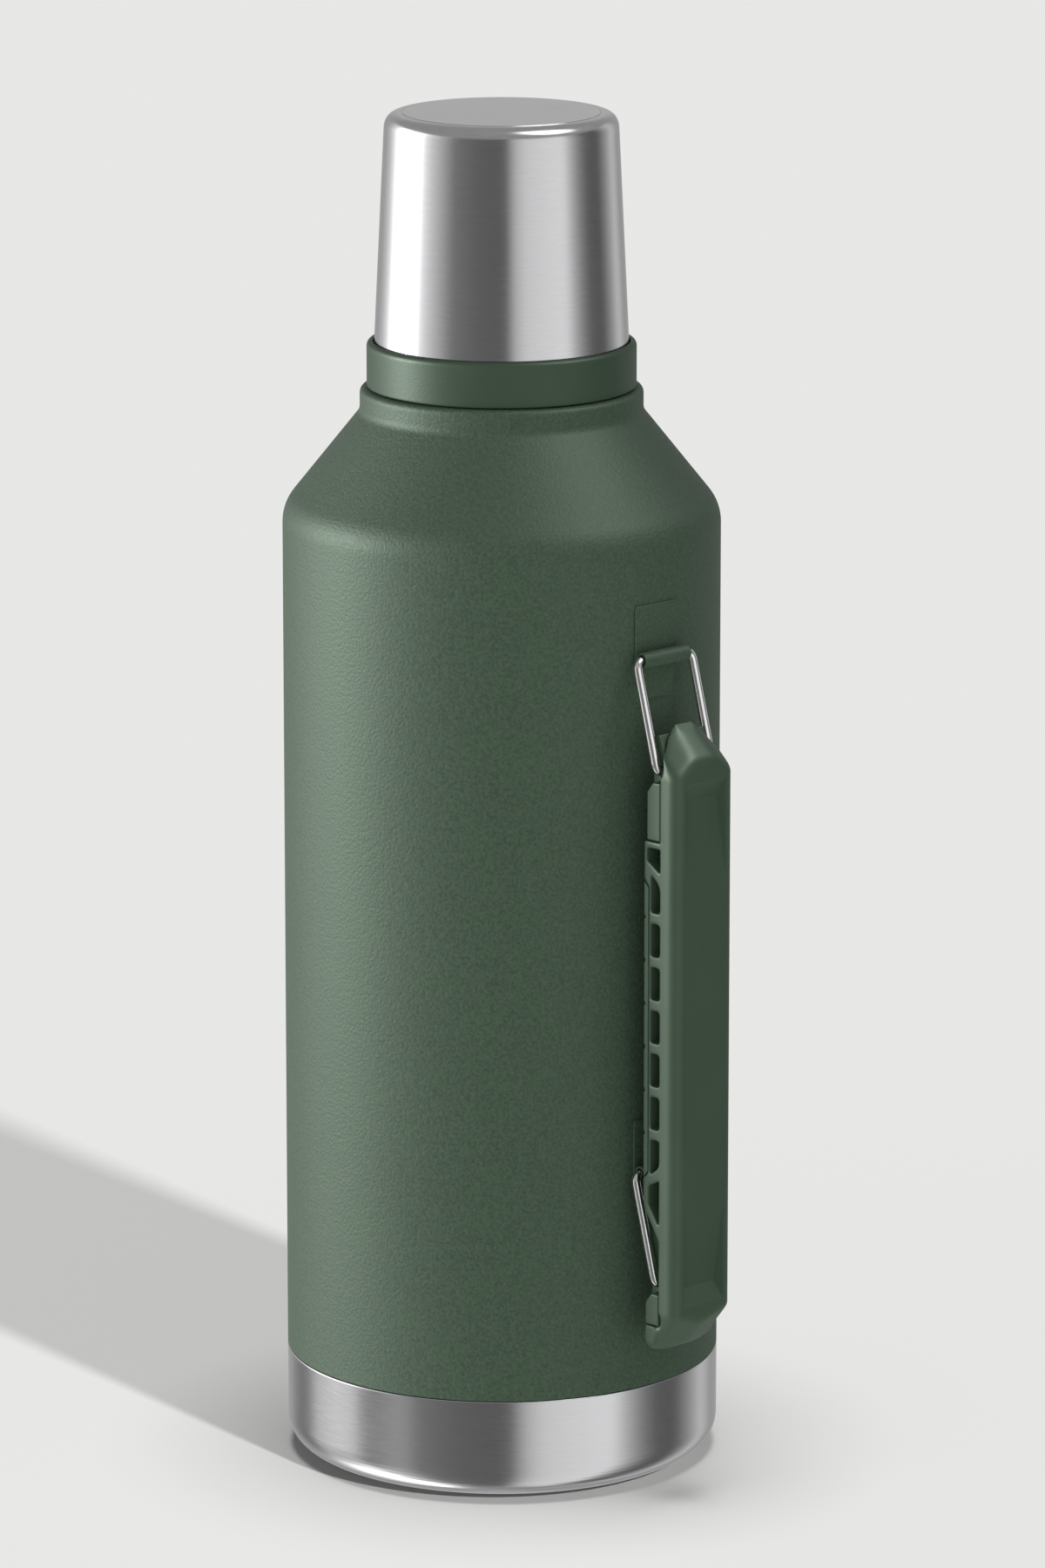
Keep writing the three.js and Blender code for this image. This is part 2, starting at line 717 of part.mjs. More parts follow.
/**
 * The block that closes one end of the grip and takes a bail's two feet. Below the feet
 * it widens into shoulders that stop the bail's legs when the handle is swung right out.
 */
function pivotBlock(corners, bottom, footZ) {
  const outer = BEAM_U - GAP;
  const shoulderZ = footZ - SHOULDER_DROP;
  const shoulders = solid(sidePlate(outline([
    [BLOCK_INNER_U, bottom, BLOCK_ROUND],
    [outer, bottom],
    [outer, shoulderZ],
    [SHOULDER_BEVEL_U, shoulderZ],
    [BLOCK_INNER_U, shoulderZ - SHOULDER_BEVEL],
  ]), SHOULDER_HALF));
  const core = solid(sidePlate(outline([
    [BLOCK_INNER_U, bottom, BLOCK_ROUND],
    [outer, bottom],
    ...corners,
  ]), BLOCK_HALF));
  const hole = solid(crossCylinder(BLOCK_HOLE_R, BLOCK_HALF + 1, FOOT_U, footZ, 12));
  return geometryOf(core.add(shoulders).subtract(hole));
}

function upperPivotBlock() {
  return pivotBlock([
    [BEAM_U - GAP, GRIP_TOP_OUTER_Z - GAP],
    [76.3, 236.6],
    [BLOCK_INNER_U, 235, BLOCK_ROUND],
  ], UPPER_SEAT_BOTTOM + GAP, UPPER_BAR_Z - FOOT_DROP);
}

function lowerPivotBlock() {
  return pivotBlock([
    [BEAM_U - GAP, LOWER_SEAT_TOP - 0.2],
    [BLOCK_INNER_U, 89.9, BLOCK_ROUND],
  ], LOWER_SEAT_BOTTOM + GAP, LOWER_BAR_Z - FOOT_DROP);
}

// ---------- the product ----------
add('outer_shell', outerShell(), hammertone());
add('base_cup', baseCup(), satinSteel());
add('bottom_plate', bottomPlate(), satinSteel());
add('evacuation_seal', evacuationSeal(), satinSteel());
add('getter_pill', getterPill(), getterAlloy());
add('inner_flask', innerFlask(), satinSteel());
add('neck_ring', neckRing(), satinSteel());
add('upper_bracket', bracket(UPPER_BAR_Z), hammertone());
add('lower_bracket', bracket(LOWER_BAR_Z), hammertone());
add('stopper_body', stopperBody(), darkPlastic());
add('stopper_seal', stopperSeal(), silicone());
add('stopper_gasket', stopperGasket(), silicone());
add('stopper_core', stopperCore(), paleFoam());
add('stopper_knob', stopperKnob(), darkPlastic());
add('cup_shell', cupShell(), satinSteel());
add('cup_liner', cupLiner(), darkPlastic());
add('cup_collar', cupCollar(), satinGreen());
add('cup_gasket', cupGasket(), silicone());
add('upper_bail', bail(UPPER_BAR_Z), wireSteel());
add('lower_bail', bail(LOWER_BAR_Z), wireSteel());
add('grip_body', gripBody(), satinGreen());
add('finger_pad', fingerPad(), satinGreen());
add('upper_pivot_block', upperPivotBlock(), satinGreen());
add('lower_pivot_block', lowerPivotBlock(), satinGreen());

export default product;
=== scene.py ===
import json
import math

import bmesh
import bpy
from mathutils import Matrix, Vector


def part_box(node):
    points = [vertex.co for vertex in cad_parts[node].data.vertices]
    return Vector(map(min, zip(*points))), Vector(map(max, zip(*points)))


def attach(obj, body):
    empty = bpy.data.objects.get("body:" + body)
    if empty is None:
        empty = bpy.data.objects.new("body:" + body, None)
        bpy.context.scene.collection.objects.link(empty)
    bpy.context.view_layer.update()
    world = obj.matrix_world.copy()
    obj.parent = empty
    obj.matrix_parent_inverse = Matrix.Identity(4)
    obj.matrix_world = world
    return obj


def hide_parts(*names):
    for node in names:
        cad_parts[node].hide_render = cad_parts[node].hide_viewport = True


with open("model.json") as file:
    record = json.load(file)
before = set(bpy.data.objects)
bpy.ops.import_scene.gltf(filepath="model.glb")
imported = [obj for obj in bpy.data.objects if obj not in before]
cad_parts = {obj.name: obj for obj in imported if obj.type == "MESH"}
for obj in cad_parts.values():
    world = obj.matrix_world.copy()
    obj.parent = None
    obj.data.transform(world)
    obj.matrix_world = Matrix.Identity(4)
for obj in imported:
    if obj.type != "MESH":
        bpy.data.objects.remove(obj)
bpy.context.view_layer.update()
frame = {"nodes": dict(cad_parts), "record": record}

# ---------- sizes, in millimetres, most of them read from the frame ----------
MM = 0.001
GAP = 0.3                    # air between neighbouring pieces
SIDES = 192                  # facets round a full circle


def reach(node):
    """A node's (lowest z, highest z, largest y), in millimetres."""
    low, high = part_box(node)
    return low.z / MM, high.z / MM, high.y / MM


JOINTS = {joint["name"]: joint for joint in frame["record"]["behaviour"]["joints"]}

_, BASE_TOP, BODY_R = reach("base_cup")
SHELL_BOTTOM, LAND_TOP, _ = reach("outer_shell")
SHELL_WALL = 1
SHOULDER_Z = 293.8           # where the straight wall meets the cone
SHOULDER_ROUND = 4.9
CONE_TOP_Z = 323
LAND_R = 42.6                # short straight land above the cone
BASE_FLAT_R = 50.7
BASE_ROUND_UP = 10.3
PLUG_HOLE_R = 3              # hole in the vacuum bottom plate

FLASK_BOTTOM, FLASK_TOP, FLASK_R = reach("inner_flask")
FLASK_WALL = 0.9
FLASK_NECK_R = 32.4
FLASK_BORE_R = FLASK_NECK_R - FLASK_WALL
FLASK_SHOULDER_Z = 288
FLASK_NECK_Z = 316.5
MOUTH_BOTTOM, MOUTH_TOP, _ = reach("neck_ring")
MOUTH_R = 33.4
THREAD_PITCH = 5
THREAD_RISE = 0.7
THREAD_HALF = 0.9            # half the height of a thread ridge
THREAD_FADE = 0.12           # part of a turn over which a thread starts and ends
MOUTH_THREAD = (338.5, 1.6)  # lowest height and turns
STOPPER_THREAD = (336.5, 1.4)
CUP_THREAD = (337.5, 1.4)

STOPPER_BOTTOM, FLANGE_TOP, FLANGE_R = reach("stopper_body")
STOPPER_R = 29.6
STOPPER_BORE_R = 26
FLANGE_Z = MOUTH_TOP + 1.9
PLUG_FLOOR = 2.4
SEAL_Z = STOPPER_BOTTOM + 3
SEAL_GROOVE_H = 3
SEAL_GROOVE_DEPTH = 1.4
SLOT_HALF = 6                # pouring slots through the stopper's thread
SLOT_FLOOR_R = 27.8
_, KNOB_TOP, _ = reach("stopper_knob")
KNOB_R = 27
KNOB_FLUTES = 8
FLUTE_DEPTH = 1.6
SPIGOT_DROP = 2.5            # knob's spigot below the flange top

COLLAR_BOTTOM, COLLAR_TOP, COLLAR_R = reach("cup_collar")
CUP_EDGE_Z, CUP_TOP, CUP_EDGE_R = reach("cup_shell")
CUP_TOP_R = 34.9
CUP_WALL = 0.8
LINER_WALL = 1.5
CUP_BORE_R = MOUTH_R + 2.5   # collar's and gasket's inner edge

UPPER_BAR_Z = JOINTS["upper_bail_swing"]["pos_m"][2] / MM
LOWER_BAR_Z = JOINTS["lower_bail_swing"]["pos_m"][2] / MM
BAR_U = JOINTS["upper_bail_swing"]["pos_m"][0] / MM
FOOT_U = JOINTS["grip_pivot"]["pos_m"][0] / MM
FOOT_DROP = UPPER_BAR_Z - JOINTS["grip_pivot"]["pos_m"][2] / MM
WIRE_R = 1.35
LEG_Y = 11.5
FOOT_INNER_Y = 5
WIRE_BEND = 2.9

STRAP_FACE_R = BODY_R + 0.6  # outer face of the bracket straps
STRAP_BACK_R = BODY_R + 0.02
STRAP_HALF = 9
STRAP_TOE_HALF = 5.5         # strap narrows to this at its lower end
STRAP_RISE = 15.8
STRAP_TAPER = 2.5            # taper starts this far below the bar
STRAP_DROP = 12.7
BARREL_R = 2.4
BARREL_BORE = 1.6
BARREL_HALF = 9.4

_, _, GRIP_HALF = reach("grip_body")
GRIP_OUTER_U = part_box("grip_body")[1].x / MM
RAIL_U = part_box("finger_pad")[0].x / MM
BEAM_U = 79.8                # inner face of the grip's outer beam
PAD_SEAT_U = 75.3            # where the rail steps back for the finger strip
PAD_BACK_U = 75.15
GROOVE_R = 0.7
END_TOP_Z = 237.9            # arched ends at the grip's sides
END_BOTTOM_Z = 48.2
TOP_CROWN = 2                # how far the arched ends rise in the middle
BOTTOM_CROWN = 2.6
WINDOW_U = 76.1
WINDOW_H = 10
WINDOW_PITCH = 13.28
WINDOW_TOP = 179.7
WINDOW_COUNT = 5
TOP_HIP = (224, 0.9, 0.7, -1)      # corner height, slopes outward and sideways, way in
BOTTOM_HIP = (60, 1.2, 0.3, 1)
UPPER_SEAT_BOTTOM = 204.6
LOWER_SEAT_BOTTOM = 55.4
LOWER_SEAT_TOP = 82.2
POCKET_HALF = 8.5
POCKET_DEPTH = 2.4
POCKET_DRAFT = 1.3
BLOCK_HALF = 9.3
BLOCK_INNER_U = 74.1
SHOULDER_HALF = 12.2         # the blocks are wider below the bail's feet
SHOULDER_DROP = 2.9
SHOULDER_BEVEL = 3.1
SHOULDER_BEVEL_U = 76.5
BLOCK_HOLE_R = 1.75

# ---------- camera ----------
CAMERA_AZIMUTH = math.radians(44.3)    # from +X towards -Y
CAMERA_DISTANCE = 2.378
CAMERA_HEIGHT = 0.7607
CAMERA_PITCH = math.radians(13.097)
CAMERA_SIDESTEP = 0.00625
CAMERA_LENS = 184.83

TOWARDS_CAMERA = Vector((math.cos(CAMERA_AZIMUTH), -math.sin(CAMERA_AZIMUTH), 0))
CAMERA_RIGHT = Vector((math.sin(CAMERA_AZIMUTH), math.cos(CAMERA_AZIMUTH), 0))


def make_camera():
    camera = bpy.data.objects.new("camera", bpy.data.cameras.new("camera"))
    bpy.context.scene.collection.objects.link(camera)
    camera.data.lens = CAMERA_LENS
    camera.data.clip_end = 100
    camera.location = (TOWARDS_CAMERA * CAMERA_DISTANCE + CAMERA_RIGHT * CAMERA_SIDESTEP
                       + Vector((0, 0, CAMERA_HEIGHT)))
    look = -TOWARDS_CAMERA * math.cos(CAMERA_PITCH) - Vector((0, 0, math.sin(CAMERA_PITCH)))
    camera.rotation_mode = "QUATERNION"
    camera.rotation_quaternion = look.to_track_quat("-Z", "Y")
    bpy.context.scene.camera = camera


# ---------- node helpers ----------
def add_node(tree, kind, settings=None, inputs=None):
    """A node with its settings, its inputs set to values or linked to other nodes' sockets."""
    node = tree.nodes.new(kind)
    for name, value in (settings or {}).items():
        setattr(node, name, value)
    for name, value in (inputs or {}).items():
        socket = node.inputs[name]
        if isinstance(value, bpy.types.NodeSocket):
            tree.links.new(value, socket)
        else:
            socket.default_value = value
    return node


def maths(tree, operation, *values):
    inputs = dict(enumerate(values))
    return add_node(tree, "ShaderNodeMath", {"operation": operation}, inputs).outputs[0]


def noise(tree, vector, size_mm, detail=3.0):
    """Noise with features about size_mm across, on object coordinates in metres."""
    return add_node(tree, "ShaderNodeTexNoise", inputs={
        "Vector": vector,
        "Scale": 1 / (size_mm * MM),
        "Detail": detail,
    }).outputs["Fac"]


def spread(tree, value, low, high):
    """Noise, which mostly lies between 0.3 and 0.7, spread over low to high."""
    return add_node(tree, "ShaderNodeMapRange", inputs={
        "Value": value,
        "From Min": 0.3,
        "From Max": 0.7,
        "To Min": low,
        "To Max": high,
    }).outputs["Result"]


def mixed(tree, factor, first, second):
    node = add_node(tree, "ShaderNodeMix", {"data_type": "RGBA"}, {"Factor": factor})
    colour_sockets = [socket for socket in node.inputs if socket.type == "RGBA"]
    colour_sockets[0].default_value = (*first, 1)
    colour_sockets[1].default_value = (*second, 1)
    return [socket for socket in node.outputs if socket.type == "RGBA"][0]


def new_material(name):
    material = bpy.data.materials.new(name)
    material.use_nodes = True
    tree = material.node_tree
    shader = tree.nodes["Principled BSDF"]
    position = add_node(tree, "ShaderNodeTexCoord").outputs["Object"]
    return material, tree, shader, position


def shaded(colour, factor):
    return tuple(channel * factor for channel in colour)


def bumped(tree, shader, height, depth_mm, strength=1.0):
    bump = add_node(tree, "ShaderNodeBump", inputs={
        "Height": height,
        "Distance": depth_mm * MM,
        "Strength": strength,
    })
    tree.links.new(bump.outputs["Normal"], shader.inputs["Normal"])


# ---------- materials ----------
PAINT = (0.057, 0.092, 0.059)
MOULDED = (0.051, 0.084, 0.053)
SHEEN = (0.78, 1.0, 0.80, 1)  # the green finishes' highlights are slightly green too


def powder_paint():
    """Powder coat: a fine pebbled grain with a slight mottle in tone and gloss."""
    material, tree, shader, position = new_material("powder_paint")
    pebbles = noise(tree, position, 0.9, 4)
    clouds = noise(tree, position, 14, 2)
    tone = maths(tree, "ADD", spread(tree, pebbles, 0.0, 0.92), spread(tree, clouds, 0.0, 0.08))
    colour = mixed(tree, tone, shaded(PAINT, 0.74), shaded(PAINT, 1.26))
    tree.links.new(colour, shader.inputs["Base Color"])
    tree.links.new(spread(tree, pebbles, 0.55, 0.63), shader.inputs["Roughness"])
    shader.inputs["Specular IOR Level"].default_value = 0.30
    shader.inputs["Specular Tint"].default_value = SHEEN
    bumped(tree, shader, pebbles, 0.16)
    return material


def moulded_green(name, grain_mm, depth_mm, gloss):
    """Moulded plastic, satin, with the spark-eroded grain of its mould."""
    material, tree, shader, position = new_material(name)
    grain = noise(tree, position, grain_mm, 3)
    clouds = noise(tree, position, 18, 2)
    colour = mixed(tree, spread(tree, clouds, 0.0, 1.0),
                   shaded(MOULDED, 0.95), shaded(MOULDED, 1.05))
    tree.links.new(colour, shader.inputs["Base Color"])
    tree.links.new(spread(tree, grain, 0.44, 0.52), shader.inputs["Roughness"])
    shader.inputs["Specular IOR Level"].default_value = gloss
    shader.inputs["Specular Tint"].default_value = SHEEN
    bumped(tree, shader, grain, depth_mm)
    return material


def turned_steel(name, tone, roughness, ring_mm, depth_mm):
    """Steel finished on a lathe: fine rings round the axis, on walls and on flat ends alike."""
    material, tree, shader, position = new_material(name)
    axes = add_node(tree, "ShaderNodeSeparateXYZ", inputs={0: position}).outputs
    radius = maths(tree, "SQRT", maths(tree, "ADD", maths(tree, "MULTIPLY", axes[0], axes[0]),
                                       maths(tree, "MULTIPLY", axes[1], axes[1])))
    along = maths(tree, "ADD", axes[2], radius)
    stretch = 40
    streak = add_node(tree, "ShaderNodeCombineXYZ", inputs={
        0: maths(tree, "DIVIDE", axes[0], stretch),
        1: maths(tree, "DIVIDE", axes[1], stretch),
        2: along,
    }).outputs[0]
    rings = noise(tree, streak, ring_mm, 4)
    smudges = noise(tree, position, 22, 3)
    colour = mixed(tree, spread(tree, rings, 0.0, 1.0), shaded(tone, 0.96), shaded(tone, 1.03))
    tree.links.new(colour, shader.inputs["Base Color"])
    gloss = maths(tree, "ADD", spread(tree, rings, roughness - 0.02, roughness + 0.03),
                  spread(tree, smudges, -0.01, 0.02))
    tree.links.new(gloss, shader.inputs["Roughness"])
    shader.inputs["Metallic"].default_value = 1
    bumped(tree, shader, rings, depth_mm)
    return material


def wire_steel():
    """Drawn stainless wire with faint draw marks."""
    material, tree, shader, position = new_material("wire_steel")
    marks = noise(tree, position, 0.6, 3)
    colour = mixed(tree, spread(tree, marks, 0.0, 1.0), (0.80, 0.79, 0.80), (0.92, 0.91, 0.92))
    tree.links.new(colour, shader.inputs["Base Color"])
    tree.links.new(spread(tree, marks, 0.10, 0.18), shader.inputs["Roughness"])
    shader.inputs["Metallic"].default_value = 1
    bumped(tree, shader, marks, 0.02)
    return material


def dark_plastic():
    material, tree, shader, position = new_material("dark_plastic")
    grain = noise(tree, position, 0.5, 4)
    colour = mixed(tree, spread(tree, grain, 0.0, 1.0),
                   (0.020, 0.023, 0.022), (0.028, 0.031, 0.030))
    tree.links.new(colour, shader.inputs["Base Color"])
    tree.links.new(spread(tree, grain, 0.38, 0.52), shader.inputs["Roughness"])
    bumped(tree, shader, grain, 0.03)
    return material


def silicone():
    material, tree, shader, position = new_material("silicone")
    dust = noise(tree, position, 1.5, 4)
    colour = mixed(tree, spread(tree, dust, 0.0, 1.0),
                   (0.045, 0.046, 0.046), (0.060, 0.060, 0.060))
    tree.links.new(colour, shader.inputs["Base Color"])
    tree.links.new(spread(tree, dust, 0.55, 0.70), shader.inputs["Roughness"])
    bumped(tree, shader, dust, 0.01)
    return material


def foam():
    """Pale insulating foam with open cells at its skin."""
    material, tree, shader, position = new_material("foam")
    cells = add_node(tree, "ShaderNodeTexVoronoi", inputs={
        "Vector": position,
        "Scale": 1 / (0.8 * MM),
    }).outputs["Distance"]
    colour = mixed(tree, cells, (0.46, 0.42, 0.35), (0.66, 0.62, 0.54))
    tree.links.new(colour, shader.inputs["Base Color"])
    shader.inputs["Roughness"].default_value = 0.9
    bumped(tree, shader, cells, 0.15)
    return material


def getter_alloy():
    """A pressed pill of metal powder."""
    material, tree, shader, position = new_material("getter_alloy")
    powder = noise(tree, position, 0.3, 5)
    colour = mixed(tree, spread(tree, powder, 0.0, 1.0), (0.18, 0.18, 0.19), (0.32, 0.32, 0.33))
    tree.links.new(colour, shader.inputs["Base Color"])
    tree.links.new(spread(tree, powder, 0.55, 0.75), shader.inputs["Roughness"])
    shader.inputs["Metallic"].default_value = 0.8
    bumped(tree, shader, powder, 0.05)
    return material


STEEL_TONE = (0.62, 0.62, 0.63)
FINISHES = {
    "powder_paint": powder_paint(),
    "satin_steel": turned_steel("satin_steel", STEEL_TONE, 0.18, 0.12, 0.002),
    "wire_steel": wire_steel(),
    "moulded_green": moulded_green("moulded_green", 0.35, 0.012, 0.38),
    "dark_plastic": dark_plastic(),
    "silicone": silicone(),
    "foam": foam(),
    "getter_alloy": getter_alloy(),
}
COLLAR_GRAIN = moulded_green("moulded_green_grained", 0.5, 0.035, 0.22)


# ---------- mesh helpers ----------
def outline(corners, steps=8):
    """
    Points of an outline. A corner is (a, b), or (a, b, back) or (a, b, back, ahead) where its
    round starts that far back along the outline and ends that far ahead.
    """
    places = [Vector(corner[:2]) for corner in corners]
    points = []
    for index, corner in enumerate(corners):
        here = places[index]
        if len(corner) == 2:
            points.append(here)
            continue
        start = here + (places[index - 1] - here).normalized() * corner[2]
        end = here + (places[(index + 1) % len(places)] - here).normalized() * corner[-1]
        for step in range(steps + 1):
            t = step / steps
            points.append(start * (1 - t) ** 2 + here * 2 * t * (1 - t) + end * t ** 2)
    return points


def supported(points, longest, margin=0.25):
    """
    The closed outline with a point just inside each end of a long straight, and no step
    over longest.
    """
    result = []
    for index, here in enumerate(points):
        step = points[(index + 1) % len(points)] - here
        result.append(here)
        if step.length > 4 * margin:
            along = step.normalized()
            near, far = here + along * margin, here + step - along * margin
            pieces = max(1, math.ceil((far - near).length / longest))
            result += [near.lerp(far, piece / pieces) for piece in range(pieces + 1)]
    return result


def finished(name, bm):
    bmesh.ops.recalc_face_normals(bm, faces=bm.faces)
    mesh = bpy.data.meshes.new(name)
    bm.to_mesh(mesh)
    bm.free()
    piece = bpy.data.objects.new(name, mesh)
    bpy.context.scene.collection.objects.link(piece)
    return piece


def smooth_shaded(piece, angle=35):
    piece.data.shade_smooth()
    piece.data.set_sharp_from_angle(angle=math.radians(angle))
    return piece


def turned(name, corners, relief=None, longest=60, steps=8):
    """
    A body of revolution from a closed outline of (r, z) corners; points on the axis become
    poles. relief(angle, r, z) may move a point's radius, for threads and flutes.
    """
    bm = bmesh.new()
    rows = []
    for r, z in supported(outline(corners, steps), longest):
        if r < 0.001:
            rows.append([bm.verts.new((0, 0, z * MM))])
            continue
        row = []
        for side in range(SIDES):
            angle = 2 * math.pi * side / SIDES
            out = (relief(angle, r, z) if relief else r) * MM
            row.append(bm.verts.new((out * math.cos(angle), out * math.sin(angle), z * MM)))
        rows.append(row)
    for index, row in enumerate(rows):
        ahead = rows[(index + 1) % len(rows)]
        if len(row) == 1 and len(ahead) == 1:
            continue
        for side in range(SIDES):
            corner = [row[side % len(row)], row[(side + 1) % len(row)],
                      ahead[(side + 1) % len(ahead)], ahead[side % len(ahead)]]
            bm.faces.new(dict.fromkeys(corner))
    return smooth_shaded(finished(name, bm))


def prism(name, points, place, near, far):
    """A closed prism: outline point (a, b) goes to place(a, b, c), with c at near and at far."""
    bm = bmesh.new()
    ends = [[bm.verts.new(Vector(place(a, b, c)) * MM) for a, b in points] for c in (near, far)]
    for end in ends:
        bm.faces.new(end)
    for index in range(len(points)):
        nxt = (index + 1) % len(points)
        bm.faces.new((ends[0][index], ends[0][nxt], ends[1][nxt], ends[1][index]))
    return finished(name, bm)


def seen_from_side(u, z, y):
    return (u, y, z)


def seen_from_front(y, z, u):
    return (u, y, z)


def seen_from_above(u, y, z):
    return (u, y, z)


def circle(radius, a, b, sides=48):
    angles = [2 * math.pi * side / sides for side in range(sides)]
    return [Vector((a + radius * math.cos(angle), b + radius * math.sin(angle)))
            for angle in angles]


def settle(piece):
    """Turns the piece's modifiers into its mesh."""
    graph = bpy.context.evaluated_depsgraph_get()
    mesh = bpy.data.meshes.new_from_object(piece.evaluated_get(graph))
    piece.modifiers.clear()
    piece.data = mesh
    return piece


def combine(piece, tool, operation):
    """Joins, cuts or intersects the piece with a tool body, which is used up."""
    modifier = piece.modifiers.new("combine", "BOOLEAN")
    modifier.operation = operation
    modifier.solver = "EXACT"
    modifier.object = tool
    settle(piece)
    bpy.data.objects.remove(tool)
    return piece


def soften(piece, voxel_mm, passes, keep, rounder=None, more_passes=0):
    """
    Rounds every edge and fillets every inside corner, as a mould does, and rounds the
    corners further where rounder(u, z) says so.
    """
    remesh = piece.modifiers.new("even", "REMESH")
    remesh.mode = "VOXEL"
    remesh.voxel_size = voxel_mm * MM
    smooth = piece.modifiers.new("round", "SMOOTH")
    smooth.factor = 0.5
    smooth.iterations = passes
    if rounder:
        settle(piece)
        group = piece.vertex_groups.new(name="rounder")
        for vertex in piece.data.vertices:
            weight = rounder(vertex.co.x / MM, vertex.co.z / MM)
            if weight > 0:
                group.add([vertex.index], weight, "REPLACE")
        more = piece.modifiers.new("rounder", "SMOOTH")
        more.factor = 0.5
        more.iterations = more_passes
        more.vertex_group = "rounder"
    thin = piece.modifiers.new("thin", "DECIMATE")
    thin.ratio = keep
    return smooth_shaded(settle(piece), 50)


def place(piece, body, nodes, slot, material=None):
    piece.data.materials.clear()
    piece.data.materials.append(material or FINISHES[slot])
    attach(piece, body)
    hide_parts(*nodes)
    return piece


# ---------- bottle ----------
def outer_shell():
    inner = BODY_R - SHELL_WALL
    skirt = inner - GAP
    land_inner = LAND_R - SHELL_WALL
    under = LAND_TOP - SHELL_WALL
    slant = 0.4              # how far the cone's inside corners are moved to keep its wall
    edge = BASE_TOP + GAP / 2
    return turned("painted_shell", [
        (skirt, SHELL_BOTTOM),
        (skirt, edge),
        (BODY_R, edge, 0.35),
        (BODY_R, SHOULDER_Z, SHOULDER_ROUND),
        (LAND_R, CONE_TOP_Z, 1.5),
        (LAND_R, LAND_TOP, 2),
        (MOUTH_R + GAP, LAND_TOP),
        (MOUTH_R + GAP, under),
        (land_inner, under, 1),
        (land_inner, CONE_TOP_Z + slant, 1.2),
        (inner, SHOULDER_Z - slant, 4.6),
        (inner, edge + SHELL_WALL),
        (skirt - SHELL_WALL, edge + SHELL_WALL),
        (skirt - SHELL_WALL, SHELL_BOTTOM),
    ])


def base_cup():
    inner = BODY_R - SHELL_WALL
    round_in = BODY_R - BASE_FLAT_R
    hollow = 0.6             # the middle of the foot is raised this far off the table
    return turned("steel_base", [
        (0, hollow),
        (BASE_FLAT_R - 6, hollow, 1),
        (BASE_FLAT_R - 5, 0, 0.6),
        (BODY_R, 0, round_in, BASE_ROUND_UP),
        (BODY_R, BASE_TOP, 0.45),
        (inner, BASE_TOP),
        (inner, SHELL_WALL, BASE_ROUND_UP, round_in),
        (0, SHELL_WALL + hollow),
    ], steps=16)


def bottom_plate():
    rim = BODY_R - 2 * SHELL_WALL - 2 * GAP
    low, high, _ = reach("bottom_plate")
    return turned("vacuum_bottom_plate", [
        (PLUG_HOLE_R, high - SHELL_WALL),
        (rim - SHELL_WALL, high - SHELL_WALL, 1),
        (rim - SHELL_WALL, low, 0.3),
        (rim, low, 0.3),
        (rim, high, 1.5),
        (PLUG_HOLE_R, high),
    ])


def evacuation_seal():
    low, high, head = reach("evacuation_seal")
    stem = PLUG_HOLE_R - GAP
    under_head = low + 2
    return turned("evacuation_seal_plug", [
        (0, low),
        (head, low, 1.2),
        (head, under_head, 0.3),
        (stem, under_head),
        (stem, high, 0.5),
        (0, high),
    ])


def inner_flask():
    inner = FLASK_R - FLASK_WALL
    slant = 0.4              # how far the inside corners are moved to keep the cone's wall
    return turned("vacuum_flask", [
        (0, FLASK_BOTTOM),
        (FLASK_R, FLASK_BOTTOM, 14),
        (FLASK_R, FLASK_SHOULDER_Z, 5),
        (FLASK_NECK_R, FLASK_NECK_Z, 3),
        (FLASK_NECK_R, FLASK_TOP),
        (FLASK_BORE_R, FLASK_TOP),
        (FLASK_BORE_R, FLASK_NECK_Z + slant, 3),
        (inner, FLASK_SHOULDER_Z + slant, 5),
        (inner, FLASK_BOTTOM + FLASK_WALL, 13.5),
        (0, FLASK_BOTTOM + FLASK_WALL),
    ])


def thread_relief(base_r, thread, outward):
    """
    A radius function that raises a screw ridge on the wall at base_r, fading at both ends.
    The thread is its lowest height and its turns; outward scales its rise, and its sign.
    """
    bottom, turns = thread

    def relief(angle, r, z):
        if abs(r - base_r) > 0.05:
            return r
        turn = angle / (2 * math.pi)
        lap = round((z - bottom) / THREAD_PITCH - turn)
        travelled = lap + turn
        if not 0 <= travelled <= turns:
            return r
        offset = abs(z - bottom - travelled * THREAD_PITCH) / THREAD_HALF
        if offset >= 1:
            return r
        ends = min(1, travelled / THREAD_FADE, (turns - travelled) / THREAD_FADE)
        return r + outward * THREAD_RISE * ends * math.cos(offset * math.pi / 2)

    return relief


def neck_ring():
    outside = thread_relief(MOUTH_R, MOUTH_THREAD, 1)
    inside = thread_relief(FLASK_BORE_R, MOUTH_THREAD, -0.5)
    socket = FLASK_NECK_R + GAP
    return turned("threaded_mouth", [
        (MOUTH_R, MOUTH_BOTTOM),
        (MOUTH_R, MOUTH_TOP, 0.9),
        (FLASK_BORE_R, MOUTH_TOP, 0.9),
        (FLASK_BORE_R, FLASK_TOP + GAP),
        (socket, FLASK_TOP + GAP),
        (socket, MOUTH_BOTTOM),
    ], lambda angle, r, z: inside(angle, outside(angle, r, z), z), longest=0.3)


